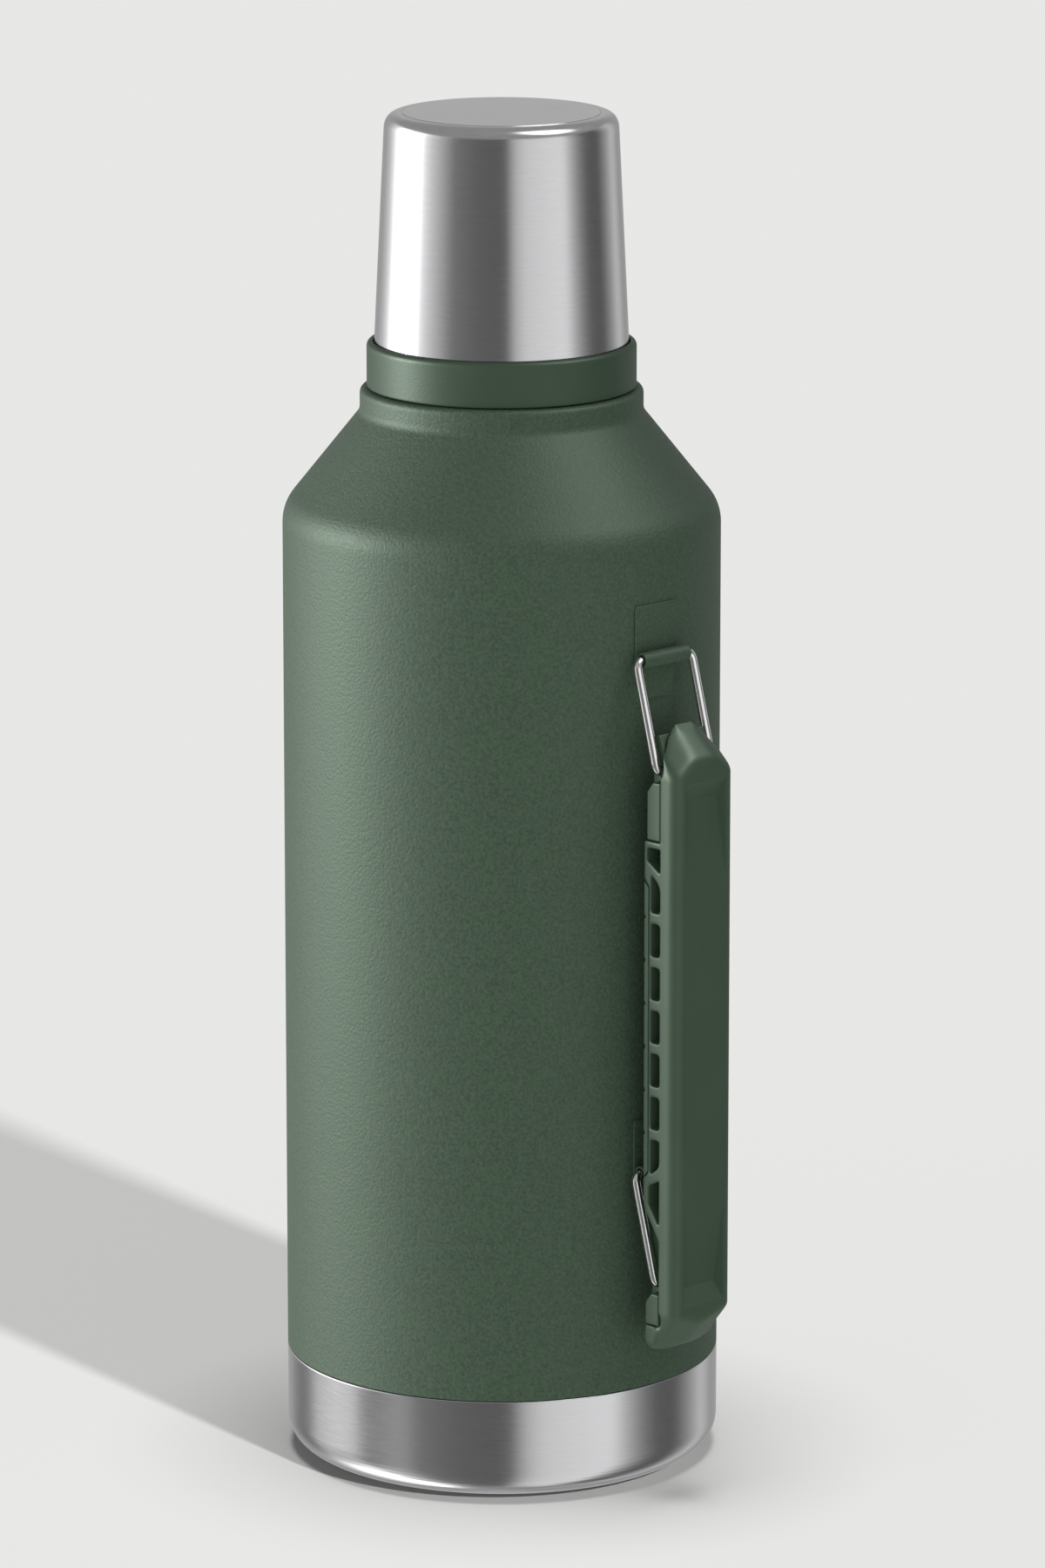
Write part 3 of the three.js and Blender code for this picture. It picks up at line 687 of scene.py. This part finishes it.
def bracket(name, bar_z):
    """A sheet strap that follows the bottle's wall, with its edge rolled into a hinge barrel."""
    top, waist, toe = bar_z + STRAP_RISE, bar_z - STRAP_TAPER, bar_z - STRAP_DROP
    strap = prism(name, outline([
        (-STRAP_HALF, top, 1), (-STRAP_HALF, waist, 2), (-STRAP_TOE_HALF, toe, 1.5),
        (STRAP_TOE_HALF, toe, 1.5), (STRAP_HALF, waist, 2), (STRAP_HALF, top, 1),
    ]), seen_from_front, BODY_R - 6, BODY_R + 6)
    wrap = turned(name + "_wrap", [
        (STRAP_BACK_R, toe - 5), (STRAP_FACE_R, toe - 5),
        (STRAP_FACE_R, top + 5), (STRAP_BACK_R, top + 5),
    ])
    combine(strap, wrap, "INTERSECT")
    barrel = prism(name + "_barrel", circle(BARREL_R, BAR_U, bar_z), seen_from_side,
                   -BARREL_HALF, BARREL_HALF)
    combine(strap, barrel, "UNION")
    bore = prism(name + "_bore", circle(BARREL_BORE, BAR_U, bar_z), seen_from_side,
                 -BARREL_HALF - 1, BARREL_HALF + 1)
    combine(strap, bore, "DIFFERENCE")
    return soften(strap, 0.18, 5, 0.35)


# ---------- stopper ----------
def stopper_body():
    groove = STOPPER_R - SEAL_GROOVE_DEPTH
    groove_top = SEAL_Z + SEAL_GROOVE_H
    body = turned("stopper_plug", [
        (0, STOPPER_BOTTOM),
        (STOPPER_R, STOPPER_BOTTOM, 1.5),
        (STOPPER_R, SEAL_Z),
        (groove, SEAL_Z),
        (groove, groove_top),
        (STOPPER_R, groove_top),
        (STOPPER_R, FLANGE_Z),
        (FLANGE_R, FLANGE_Z, 0.4),
        (FLANGE_R, FLANGE_TOP, 1.2),
        (STOPPER_BORE_R, FLANGE_TOP, 0.5),
        (STOPPER_BORE_R, STOPPER_BOTTOM + PLUG_FLOOR),
        (0, STOPPER_BOTTOM + PLUG_FLOOR),
    ], thread_relief(STOPPER_R, STOPPER_THREAD, 1), longest=0.4)
    slot_low, slot_high = groove_top + 2, MOUTH_TOP + 0.8
    for side in (-1, 1):
        near, far = sorted((side * SLOT_FLOOR_R, side * (FLANGE_R + 0.8)))
        slot = prism("pour_slot", outline([
            (-SLOT_HALF, slot_low, 1.5), (SLOT_HALF, slot_low, 1.5),
            (SLOT_HALF, slot_high, 1.5), (-SLOT_HALF, slot_high, 1.5),
        ]), seen_from_side, near, far)
        combine(body, slot, "DIFFERENCE")
    return smooth_shaded(body)


def stopper_seal():
    low, high, out = reach("stopper_seal")
    back = STOPPER_R - SEAL_GROOVE_DEPTH + GAP
    return turned("stopper_seal_ring", [
        (back, low, 0.3), (out, low, 1), (out, high, 1), (back, high, 0.3),
    ])


def stopper_gasket():
    low, high, out = reach("stopper_gasket")
    back = STOPPER_R + 1.1
    return turned("stopper_gasket_ring", [
        (back, low), (out, low, 0.4), (out, high, 0.4), (back, high),
    ])


def stopper_core():
    low, high, out = reach("stopper_core")
    return turned("stopper_foam", [(0, low), (out, low, 0.8), (out, high, 0.8), (0, high)])


def stopper_knob():
    bottom = FLANGE_TOP + GAP
    grip_z = bottom + 3
    rim = FLANGE_R - 1.5

    def flutes(angle, r, z):
        if z < grip_z or r < KNOB_R - 3:
            return r
        wave = max(0.0, math.cos(KNOB_FLUTES * angle)) ** 0.7
        return r - FLUTE_DEPTH * wave * min(1, (z - grip_z) / 1.5)

    spigot = STOPPER_BORE_R - GAP
    dish = 0.8               # the knob's top is dished this deep
    return turned("stopper_knob_cap", [
        (0, FLANGE_TOP - SPIGOT_DROP),
        (spigot, FLANGE_TOP - SPIGOT_DROP, 0.5),
        (spigot, bottom),
        (rim, bottom, 0.4),
        (rim, bottom + 1.5, 0.4),
        (KNOB_R, grip_z, 1),
        (KNOB_R, KNOB_TOP, 2.5),
        (KNOB_R - 6, KNOB_TOP, 0.8),
        (KNOB_R - 7, KNOB_TOP - dish, 0.8),
        (0, KNOB_TOP - dish),
    ], flutes, longest=1)


# ---------- cup lid ----------
def cup_shell():
    crease = CUP_TOP_R - 4.9     # a fine line just inside the edge of the top disc
    rim_z = CUP_TOP - 0.15
    inner_edge = CUP_EDGE_R - CUP_WALL
    return turned("steel_cup", [
        (0, CUP_TOP - CUP_WALL),
        (CUP_TOP_R - CUP_WALL, CUP_TOP - CUP_WALL, 4.2),
        (inner_edge, CUP_EDGE_Z),
        (CUP_EDGE_R, CUP_EDGE_Z),
        (CUP_TOP_R, rim_z, 4.7),
        (crease, rim_z, 0.12),
        (crease - 0.25, CUP_TOP - 0.3, 0.1),
        (crease - 0.5, CUP_TOP, 0.12),
        (0, CUP_TOP),
    ], steps=16)


def cup_liner():
    edge = CUP_EDGE_R - CUP_WALL - GAP
    out = CUP_TOP_R - CUP_WALL - GAP
    low, high, _ = reach("cup_liner")
    ridge = thread_relief(0, CUP_THREAD, 1)

    def thread(angle, r, z):
        """Raises the thread inwards from the liner's slanted inner wall."""
        wall = edge + (out - edge) * (z - low) / (high - low) - LINER_WALL
        if abs(r - wall) > 0.1:
            return r
        return r - ridge(angle, 0, z)

    return turned("cup_liner_shell", [
        (0, high - LINER_WALL),
        (out - LINER_WALL, high - LINER_WALL, 3.6),
        (edge - LINER_WALL, low, 0.4),
        (edge, low, 0.4),
        (out, high, 4.2),
        (0, high),
    ], thread, longest=0.5)


def cup_collar():
    lip = COLLAR_R - 1.2
    floor_z = COLLAR_BOTTOM + 1.8
    return turned("cup_collar_ring", [
        (CUP_BORE_R, floor_z),
        (lip, floor_z),
        (lip, COLLAR_BOTTOM, 0.3),
        (COLLAR_R, COLLAR_BOTTOM, 0.6),
        (COLLAR_R, COLLAR_TOP, 1.8),
        (CUP_EDGE_R - 0.1, COLLAR_TOP, 0.5),
        (CUP_EDGE_R + GAP, CUP_EDGE_Z - GAP),
        (CUP_BORE_R, CUP_EDGE_Z - GAP),
    ])


def cup_gasket():
    low, high, out = reach("cup_gasket")
    return turned("cup_gasket_ring", [
        (CUP_BORE_R, low, 0.4), (out, low, 0.4), (out, high), (CUP_BORE_R, high),
    ])


# ---------- handle ----------
def bail(name, bar_z):
    """One wire bail: a bar through its bracket, two legs, and feet turned in to the grip."""
    foot_z = bar_z - FOOT_DROP
    corners = [Vector(corner) for corner in (
        (FOOT_U, -FOOT_INNER_Y, foot_z), (FOOT_U, -LEG_Y, foot_z), (BAR_U, -LEG_Y, bar_z),
        (BAR_U, LEG_Y, bar_z), (FOOT_U, LEG_Y, foot_z), (FOOT_U, FOOT_INNER_Y, foot_z),
    )]
    steps = 12
    points = [corners[0]]
    for index in range(1, len(corners) - 1):
        here = corners[index]
        start = here + (corners[index - 1] - here).normalized() * WIRE_BEND
        end = here + (corners[index + 1] - here).normalized() * WIRE_BEND
        for step in range(steps + 1):
            t = step / steps
            points.append(start * (1 - t) ** 2 + here * 2 * t * (1 - t) + end * t ** 2)
    points.append(corners[-1])
    curve = bpy.data.curves.new(name, "CURVE")
    curve.dimensions = "3D"
    curve.bevel_depth = WIRE_R * MM
    curve.bevel_resolution = 8
    curve.use_fill_caps = True
    spline = curve.splines.new("POLY")
    spline.points.add(len(points) - 1)
    for point, place_mm in zip(spline.points, points):
        point.co = (*(place_mm * MM), 1)
    wire = bpy.data.objects.new(name, curve)
    bpy.context.scene.collection.objects.link(wire)
    graph = bpy.context.evaluated_depsgraph_get()
    mesh = bpy.data.meshes.new_from_object(wire.evaluated_get(graph))
    bpy.data.objects.remove(wire)
    mesh.name = name
    piece = bpy.data.objects.new(name, mesh)
    bpy.context.scene.collection.objects.link(piece)
    return smooth_shaded(piece, 60)


def grip_windows():
    """The grip's lightening windows, as outlines seen from the side."""
    windows = [
        [(74.5, 198.7, 0.3), (BEAM_U, 195.3, 0.3), (BEAM_U, 202.7, 0.6), (74.5, 202.5, 0.3)],
        [(WINDOW_U, 183, 1), (BEAM_U, 183, 1), (BEAM_U, 191.3, 2), (WINDOW_U, 194.6, 0.3)],
        [(WINDOW_U, 102.4, 0.5), (BEAM_U, 105, 2), (BEAM_U, 113.3, 1), (WINDOW_U, 113.3, 0.6)],
        [(75.5, 93.2, 0.3), (BEAM_U, 86.9, 0.3), (BEAM_U, 101, 0.6), (75.5, 98.8, 0.4)],
    ]
    for index in range(WINDOW_COUNT):
        top = WINDOW_TOP - index * WINDOW_PITCH
        bottom = top - WINDOW_H
        windows.append([
            (WINDOW_U, bottom, 0.8), (BEAM_U, bottom, 1), (BEAM_U, top, 1.4), (WINDOW_U, top, 0.5),
        ])
    return windows


def grip_pocket(end_z, deep_z, fade_z):
    """A cutter for a ramped pocket with drafted sides, deepest near the grip's end."""
    lift = 0.5
    spread_out = POCKET_DRAFT * lift / POCKET_DEPTH
    mouth, floor = POCKET_HALF + spread_out, POCKET_HALF - POCKET_DRAFT
    out_u, deep_u = GRIP_OUTER_U + lift, GRIP_OUTER_U - POCKET_DEPTH
    towards_end = (end_z - deep_z) * lift / POCKET_DEPTH
    past_fade = (fade_z - deep_z) * lift / POCKET_DEPTH
    bm = bmesh.new()
    rim = [bm.verts.new(Vector((out_u, y, z)) * MM) for y, z in (
        (-mouth, end_z + towards_end), (mouth, end_z + towards_end),
        (mouth, fade_z + past_fade), (-mouth, fade_z + past_fade))]
    keel = [bm.verts.new(Vector((deep_u, y, deep_z)) * MM) for y in (-floor, floor)]
    bm.faces.new(rim)
    bm.faces.new((rim[0], rim[1], keel[1], keel[0]))
    bm.faces.new((rim[2], rim[3], keel[0], keel[1]))
    bm.faces.new((rim[1], rim[2], keel[1]))
    bm.faces.new((rim[3], rim[0], keel[0]))
    return finished("pocket", bm)


def hip_cutter(hip, side):
    """A block whose one face cuts a flat across an outer corner at one end of the grip."""
    corner_z, outward, sideways, inward = hip
    normal = Vector((outward, side * sideways, -inward)).normalized()
    corner = Vector((GRIP_OUTER_U, side * GRIP_HALF, corner_z))
    along = normal.orthogonal().normalized() * 40
    across = normal.cross(along)
    face = [corner + along + across, corner - along + across,
            corner - along - across, corner + along - across]
    bm = bmesh.new()
    near = [bm.verts.new(point * MM) for point in face]
    far = [bm.verts.new((point + normal * 30) * MM) for point in face]
    bm.faces.new(near)
    bm.faces.new(far)
    for index in range(4):
        nxt = (index + 1) % 4
        bm.faces.new((near[index], near[nxt], far[nxt], far[index]))
    return finished("hip_cutter", bm)


def end_weight(u, z):
    """One on the outer corners of the grip's two ends, fading to nothing along the grip."""
    past_end = max(z - 224, 60 - z) / 3
    outward = (u - 78) / 2
    return min(1, max(0, past_end)) * min(1, max(0, outward))


def grip_body():
    side = outline([
        (76.2, 46.9, 1.5), (GRIP_OUTER_U, 50, 7), (GRIP_OUTER_U, 229.5, 1.5), (76.5, 239.4, 1),
        (BEAM_U, 229.5), (BEAM_U, UPPER_SEAT_BOTTOM), (RAIL_U, UPPER_SEAT_BOTTOM, 0.6),
        (RAIL_U, 193), (PAD_SEAT_U, 190.6), (PAD_SEAT_U, 103), (RAIL_U, 100.6),
        (RAIL_U, 92.2, 1.5),
        (BEAM_U, LOWER_SEAT_TOP), (BEAM_U, LOWER_SEAT_BOTTOM), (74.4, LOWER_SEAT_BOTTOM, 0.6),
        (74, 51, 1.5),
    ])
    section = outline([
        (RAIL_U - 1, -GRIP_HALF), (GRIP_OUTER_U, -GRIP_HALF, 4),
        (GRIP_OUTER_U, GRIP_HALF, 4), (RAIL_U - 1, GRIP_HALF),
    ], 16)
    front = outline([
        (-GRIP_HALF, END_BOTTOM_Z, 2), (0, END_BOTTOM_Z - BOTTOM_CROWN, 9),
        (GRIP_HALF, END_BOTTOM_Z, 2), (GRIP_HALF, END_TOP_Z, 2),
        (0, END_TOP_Z + TOP_CROWN, 9), (-GRIP_HALF, END_TOP_Z, 2),
    ], 12)
    grip = prism("grip_frame", side, seen_from_side, -GRIP_HALF, GRIP_HALF)
    for corners in grip_windows():
        window = prism("window", outline(corners), seen_from_side,
                       -GRIP_HALF - 2, GRIP_HALF + 2)
        combine(grip, window, "DIFFERENCE")
    combine(grip, prism("section", section, seen_from_above, 40, 245), "INTERSECT")
    arched = prism("front", front, seen_from_front, RAIL_U - 3, GRIP_OUTER_U + 3)
    combine(grip, arched, "INTERSECT")
    for hip in (TOP_HIP, BOTTOM_HIP):
        for face in (-1, 1):
            combine(grip, hip_cutter(hip, face), "DIFFERENCE")
    soften(grip, 0.3, 6, 0.3, end_weight, 300)
    combine(grip, grip_pocket(222.6, 217.3, 194), "DIFFERENCE")
    combine(grip, grip_pocket(62, 67.5, 91), "DIFFERENCE")
    return smooth_shaded(grip, 14)


def finger_pad():
    """The soft strip the fingers close on, with a groove across it at each rung of the grip."""
    low, high, half = reach("finger_pad")
    pad = prism("finger_strip", outline([
        (RAIL_U, low, 0.5), (PAD_BACK_U, low + 2), (PAD_BACK_U, high - 2), (RAIL_U, high, 0.5),
    ]), seen_from_side, -half, half)
    rung = WINDOW_TOP + (WINDOW_PITCH - WINDOW_H) / 2
    for index in range(WINDOW_COUNT + 1):
        groove = prism("groove", circle(GROOVE_R, RAIL_U, rung - index * WINDOW_PITCH, 16),
                       seen_from_side, -half - 1, half + 1)
        combine(pad, groove, "DIFFERENCE")
    return soften(pad, 0.25, 2, 0.4)


def pivot_block(name, corners, bottom, foot_z):
    """
    The block that closes one end of the grip and takes a bail's two feet, with wider
    shoulders below the feet that stop the bail's legs when the handle is swung right out.
    """
    outer = BEAM_U - GAP
    shoulder_z = foot_z - SHOULDER_DROP
    foot_corners = [(BLOCK_INNER_U, bottom, 0.8), (outer, bottom, 0.5)]
    block = prism(name, outline(foot_corners + corners), seen_from_side, -BLOCK_HALF, BLOCK_HALF)
    shoulders = prism(name + "_shoulders", outline(foot_corners + [
        (outer, shoulder_z), (SHOULDER_BEVEL_U, shoulder_z, 0.4),
        (BLOCK_INNER_U, shoulder_z - SHOULDER_BEVEL, 0.4),
    ]), seen_from_side, -SHOULDER_HALF, SHOULDER_HALF)
    combine(block, shoulders, "UNION")
    hole = prism("hole", circle(BLOCK_HOLE_R, FOOT_U, foot_z), seen_from_side,
                 -BLOCK_HALF - 1, BLOCK_HALF + 1)
    combine(block, hole, "DIFFERENCE")
    return soften(block, 0.25, 3, 0.35)


def upper_pivot_block():
    return pivot_block("upper_pivot_plug", [
        (BEAM_U - GAP, 229.2), (76.3, 236.6, 0.5), (BLOCK_INNER_U, 235, 0.8),
    ], UPPER_SEAT_BOTTOM + GAP, UPPER_BAR_Z - FOOT_DROP)


def lower_pivot_block():
    return pivot_block("lower_pivot_plug", [
        (BEAM_U - GAP, LOWER_SEAT_TOP - 0.2, 0.5), (BLOCK_INNER_U, 89.9, 0.8),
    ], LOWER_SEAT_BOTTOM + GAP, LOWER_BAR_Z - FOOT_DROP)


# ---------- studio ----------
FLOOR_TONE = 0.25            # under strong lamps, so that the sky adds little to it
FLOOR_HALF = 9               # metres
LOW_SUN = 6.5                # strength and spread of the two lamps on the floor
LOW_SUN_SPREAD = 3
OVERHEAD = 5.75
OVERHEAD_SPREAD = 24
BACKDROP = 0.80              # what the camera would see past the floor's edge
SKY = 0.62                   # ambient light on every piece and on the floor
SKY_SLANT = 0.60             # how much more of it comes from low on the left
BANDS_PEAK = 5.0             # radiance of a band whose level is 1
# What the steel mirrors, by the angle round from the camera's side: degrees and radiance.
BANDS = (
    (-180, 0.52), (-166, 0.40), (-150, 0.42), (-136, 0.70), (-126, 1.20), (-118, 2.6),
    (-102, 3.3), (-88, 3.0), (-80, 1.20), (-70, 0.85), (-60, 0.58), (-46, 0.24), (-25, 0.17),
    (-4, 0.14), (5, 0.14), (12, 0.62), (22, 0.88), (62, 1.05), (70, 0.62), (80, 0.30),
    (90, 0.14), (106, 0.12), (118, 0.34), (134, 0.72), (150, 0.38), (166, 0.40), (180, 0.52),
)
BANDS_TOP = 22               # the wall of lights and flags ends this far above the horizon
BANDS_BOTTOM = -75
AROUND = 0.36                # radiance above and below it
LEFT_LOW = 0.21              # how much of the left light is left well below the horizon
HIGH_LIGHT = (76, 60)        # a large soft light above and to the right: turn and rise
PANELS = (                   # lamps that light only the green pieces: turn, rise, size, power
    ("left_panel", -88, 8, 0.8, 150.0),
    ("high_panel", 76, 52, 0.7, 55.0),
)
PANEL_DISTANCE = 2.2
SUN_TURN = -9
SUN_RISE = 30


def direction(turn, rise):
    """The unit vector at an angle round from the camera's side and an angle above the horizon."""
    turn, rise = math.radians(turn), math.radians(rise)
    level = TOWARDS_CAMERA * math.cos(turn) + CAMERA_RIGHT * math.sin(turn)
    return level * math.cos(rise) + Vector((0, 0, math.sin(rise)))


def dot(tree, vector, fixed):
    return add_node(tree, "ShaderNodeVectorMath", {"operation": "DOT_PRODUCT"},
                    {0: vector, 1: tuple(fixed)}).outputs["Value"]


def fade(tree, value, start, end, first, last):
    """Goes smoothly from first to last as the value goes from start to end."""
    return add_node(tree, "ShaderNodeMapRange", {"interpolation_type": "SMOOTHSTEP"}, {
        "Value": value,
        "From Min": start,
        "From Max": end,
        "To Min": first,
        "To Max": last,
    }).outputs["Result"]


def sine(degrees):
    return math.sin(math.radians(degrees))


def mirrored_bands(tree, ray):
    """The wall of lights and dark flags round the bottle, and the dim room beyond it."""
    turn = maths(tree, "ARCTAN2", dot(tree, ray, CAMERA_RIGHT), dot(tree, ray, TOWARDS_CAMERA))
    place_on_ramp = add_node(tree, "ShaderNodeMapRange", inputs={
        "Value": turn,
        "From Min": -math.pi,
        "From Max": math.pi,
    }).outputs["Result"]
    ramp = add_node(tree, "ShaderNodeValToRGB", inputs={"Fac": place_on_ramp})
    stops = ramp.color_ramp.elements
    for angle, _ in BANDS[1:-1]:
        stops.new((angle + 180) / 360)
    for stop, (angle, radiance) in zip(stops, BANDS):
        stop.position = (angle + 180) / 360
        stop.color = (*[radiance / BANDS_PEAK] * 3, 1)
    level = maths(tree, "MULTIPLY", ramp.outputs["Color"], BANDS_PEAK)

    rise = dot(tree, ray, (0, 0, 1))
    leftward = fade(tree, dot(tree, ray, direction(-104, 0)), 0.55, 0.85, 0.0, 1.0)
    low = fade(tree, rise, sine(-9), sine(-17), 0.0, 1.0)
    low_left = maths(tree, "MULTIPLY", leftward, low)
    kept = maths(tree, "SUBTRACT", 1, maths(tree, "MULTIPLY", low_left, 1 - LEFT_LOW))
    below_top = fade(tree, rise, sine(BANDS_TOP + 3), sine(BANDS_TOP), 0.0, 1.0)
    above_bottom = fade(tree, rise, sine(BANDS_BOTTOM - 6), sine(BANDS_BOTTOM), 0.0, 1.0)
    inside = maths(tree, "MULTIPLY", below_top, above_bottom)
    wall = maths(tree, "MULTIPLY", maths(tree, "MULTIPLY", level, kept), inside)
    return maths(tree, "MULTIPLY_ADD", maths(tree, "SUBTRACT", 1, inside), AROUND, wall)


def soft_spot(tree, ray, centre, inner, outer, radiance):
    """A round soft light that fades between two angles from its centre."""
    return fade(tree, dot(tree, ray, centre), math.cos(math.radians(outer)),
                math.cos(math.radians(inner)), 0.0, radiance)


def make_world():
    world = bpy.data.worlds.new("studio")
    bpy.context.scene.world = world
    world.use_nodes = True
    world.cycles.sampling_method = "NONE"
    tree = world.node_tree
    ray = add_node(tree, "ShaderNodeTexCoord").outputs["Generated"]
    kind = add_node(tree, "ShaderNodeLightPath").outputs
    glossy = maths(tree, "ADD", mirrored_bands(tree, ray),
                   soft_spot(tree, ray, direction(*HIGH_LIGHT), 9, 24, 2.8))
    diffuse = maths(tree, "MULTIPLY_ADD", dot(tree, ray, direction(-50, -42)), SKY_SLANT, SKY)
    ambient = maths(tree, "MAXIMUM", diffuse, 0)
    plain = maths(tree, "MULTIPLY", kind["Is Camera Ray"], BACKDROP)
    lit = maths(tree, "MULTIPLY_ADD", kind["Is Glossy Ray"], glossy, plain)
    everything = maths(tree, "MULTIPLY_ADD", kind["Is Diffuse Ray"], ambient, lit)
    background = tree.nodes["Background"]
    tree.links.new(everything, background.inputs["Strength"])
    background.inputs["Color"].default_value = (1, 1, 1, 1)


def make_floor():
    bm = bmesh.new()
    bmesh.ops.create_grid(bm, x_segments=1, y_segments=1, size=FLOOR_HALF)
    floor = finished("floor", bm)
    floor.location.z = -0.2 * MM
    material, tree, shader, position = new_material("pale_floor")
    shader.inputs["Base Color"].default_value = (FLOOR_TONE, FLOOR_TONE, FLOOR_TONE * 0.985, 1)
    shader.inputs["Roughness"].default_value = 1
    shader.inputs["Specular IOR Level"].default_value = 0
    floor.data.materials.append(material)
    floor.visible_glossy = False
    floor.visible_diffuse = False
    return floor


def make_lamp(name, kind, energy, shines, receivers):
    """A lamp that shines along a direction and lights only the given pieces."""
    data = bpy.data.lights.new(name, kind)
    data.energy = energy
    lamp = bpy.data.objects.new(name, data)
    bpy.context.scene.collection.objects.link(lamp)
    lamp.rotation_mode = "QUATERNION"
    lamp.rotation_quaternion = shines.to_track_quat("-Z", "Y")
    lit = bpy.data.collections.new("lit_by_" + name)
    for piece in receivers:
        lit.objects.link(piece)
    lamp.light_linking.receiver_collection = lit
    return lamp


def make_floor_lamps(floor):
    """A low sun for the long shadow, and a broad light overhead for the floor's brightness."""
    turn, rise = math.radians(SUN_TURN), math.radians(SUN_RISE)
    level = math.cos(rise)
    from_sun = -Vector((math.cos(turn) * level, math.sin(turn) * level, math.sin(rise)))
    low_sun = make_lamp("low_sun", "SUN", LOW_SUN, from_sun, [floor])
    low_sun.data.angle = math.radians(LOW_SUN_SPREAD)
    overhead = make_lamp("overhead", "SUN", OVERHEAD, Vector((0, 0, -1)), [floor])
    overhead.data.angle = math.radians(OVERHEAD_SPREAD)


def make_panels(green_pieces):
    """Soft panels whose broad highlights run down the green pieces, and add nothing else."""
    centre = Vector((0, 0, 0.2))
    for name, turn, rise, size, energy in PANELS:
        towards = direction(turn, rise)
        lamp = make_lamp(name, "AREA", energy, -towards, green_pieces)
        lamp.location = centre + towards * PANEL_DISTANCE
        lamp.data.size = size
        lamp.visible_diffuse = False


# ---------- the scene ----------
make_camera()
bpy.context.scene.view_settings.view_transform = "Standard"
make_world()
make_floor_lamps(make_floor())

green_pieces = [
    place(outer_shell(), "bottle", ["outer_shell"], "powder_paint"),
    place(bracket("upper_strap", UPPER_BAR_Z), "bottle", ["upper_bracket"], "powder_paint"),
    place(bracket("lower_strap", LOWER_BAR_Z), "bottle", ["lower_bracket"], "powder_paint"),
    place(cup_collar(), "cup", ["cup_collar"], "moulded_green", COLLAR_GRAIN),
    place(grip_body(), "grip", ["grip_body"], "moulded_green"),
    place(finger_pad(), "grip", ["finger_pad"], "moulded_green"),
    place(upper_pivot_block(), "grip", ["upper_pivot_block"], "moulded_green"),
    place(lower_pivot_block(), "grip", ["lower_pivot_block"], "moulded_green"),
]
make_panels(green_pieces)

place(base_cup(), "bottle", ["base_cup"], "satin_steel")
place(bottom_plate(), "bottle", ["bottom_plate"], "satin_steel")
place(evacuation_seal(), "bottle", ["evacuation_seal"], "satin_steel")
place(inner_flask(), "bottle", ["inner_flask"], "satin_steel")
place(neck_ring(), "bottle", ["neck_ring"], "satin_steel")

place(stopper_gasket(), "stopper_ring", ["stopper_gasket"], "silicone")
place(stopper_body(), "stopper", ["stopper_body"], "dark_plastic")
place(stopper_seal(), "stopper", ["stopper_seal"], "silicone")
place(stopper_core(), "stopper", ["stopper_core"], "foam")
place(stopper_knob(), "stopper", ["stopper_knob"], "dark_plastic")

place(cup_gasket(), "cup_ring", ["cup_gasket"], "silicone")
place(cup_shell(), "cup", ["cup_shell"], "satin_steel")
place(cup_liner(), "cup", ["cup_liner"], "dark_plastic")

place(bail("upper_wire", UPPER_BAR_Z), "upper_link", ["upper_bail"], "wire_steel")
place(bail("lower_wire", LOWER_BAR_Z), "lower_link", ["lower_bail"], "wire_steel")

getter = frame["nodes"]["getter_pill"]
getter.data.materials.clear()
getter.data.materials.append(FINISHES["getter_alloy"])
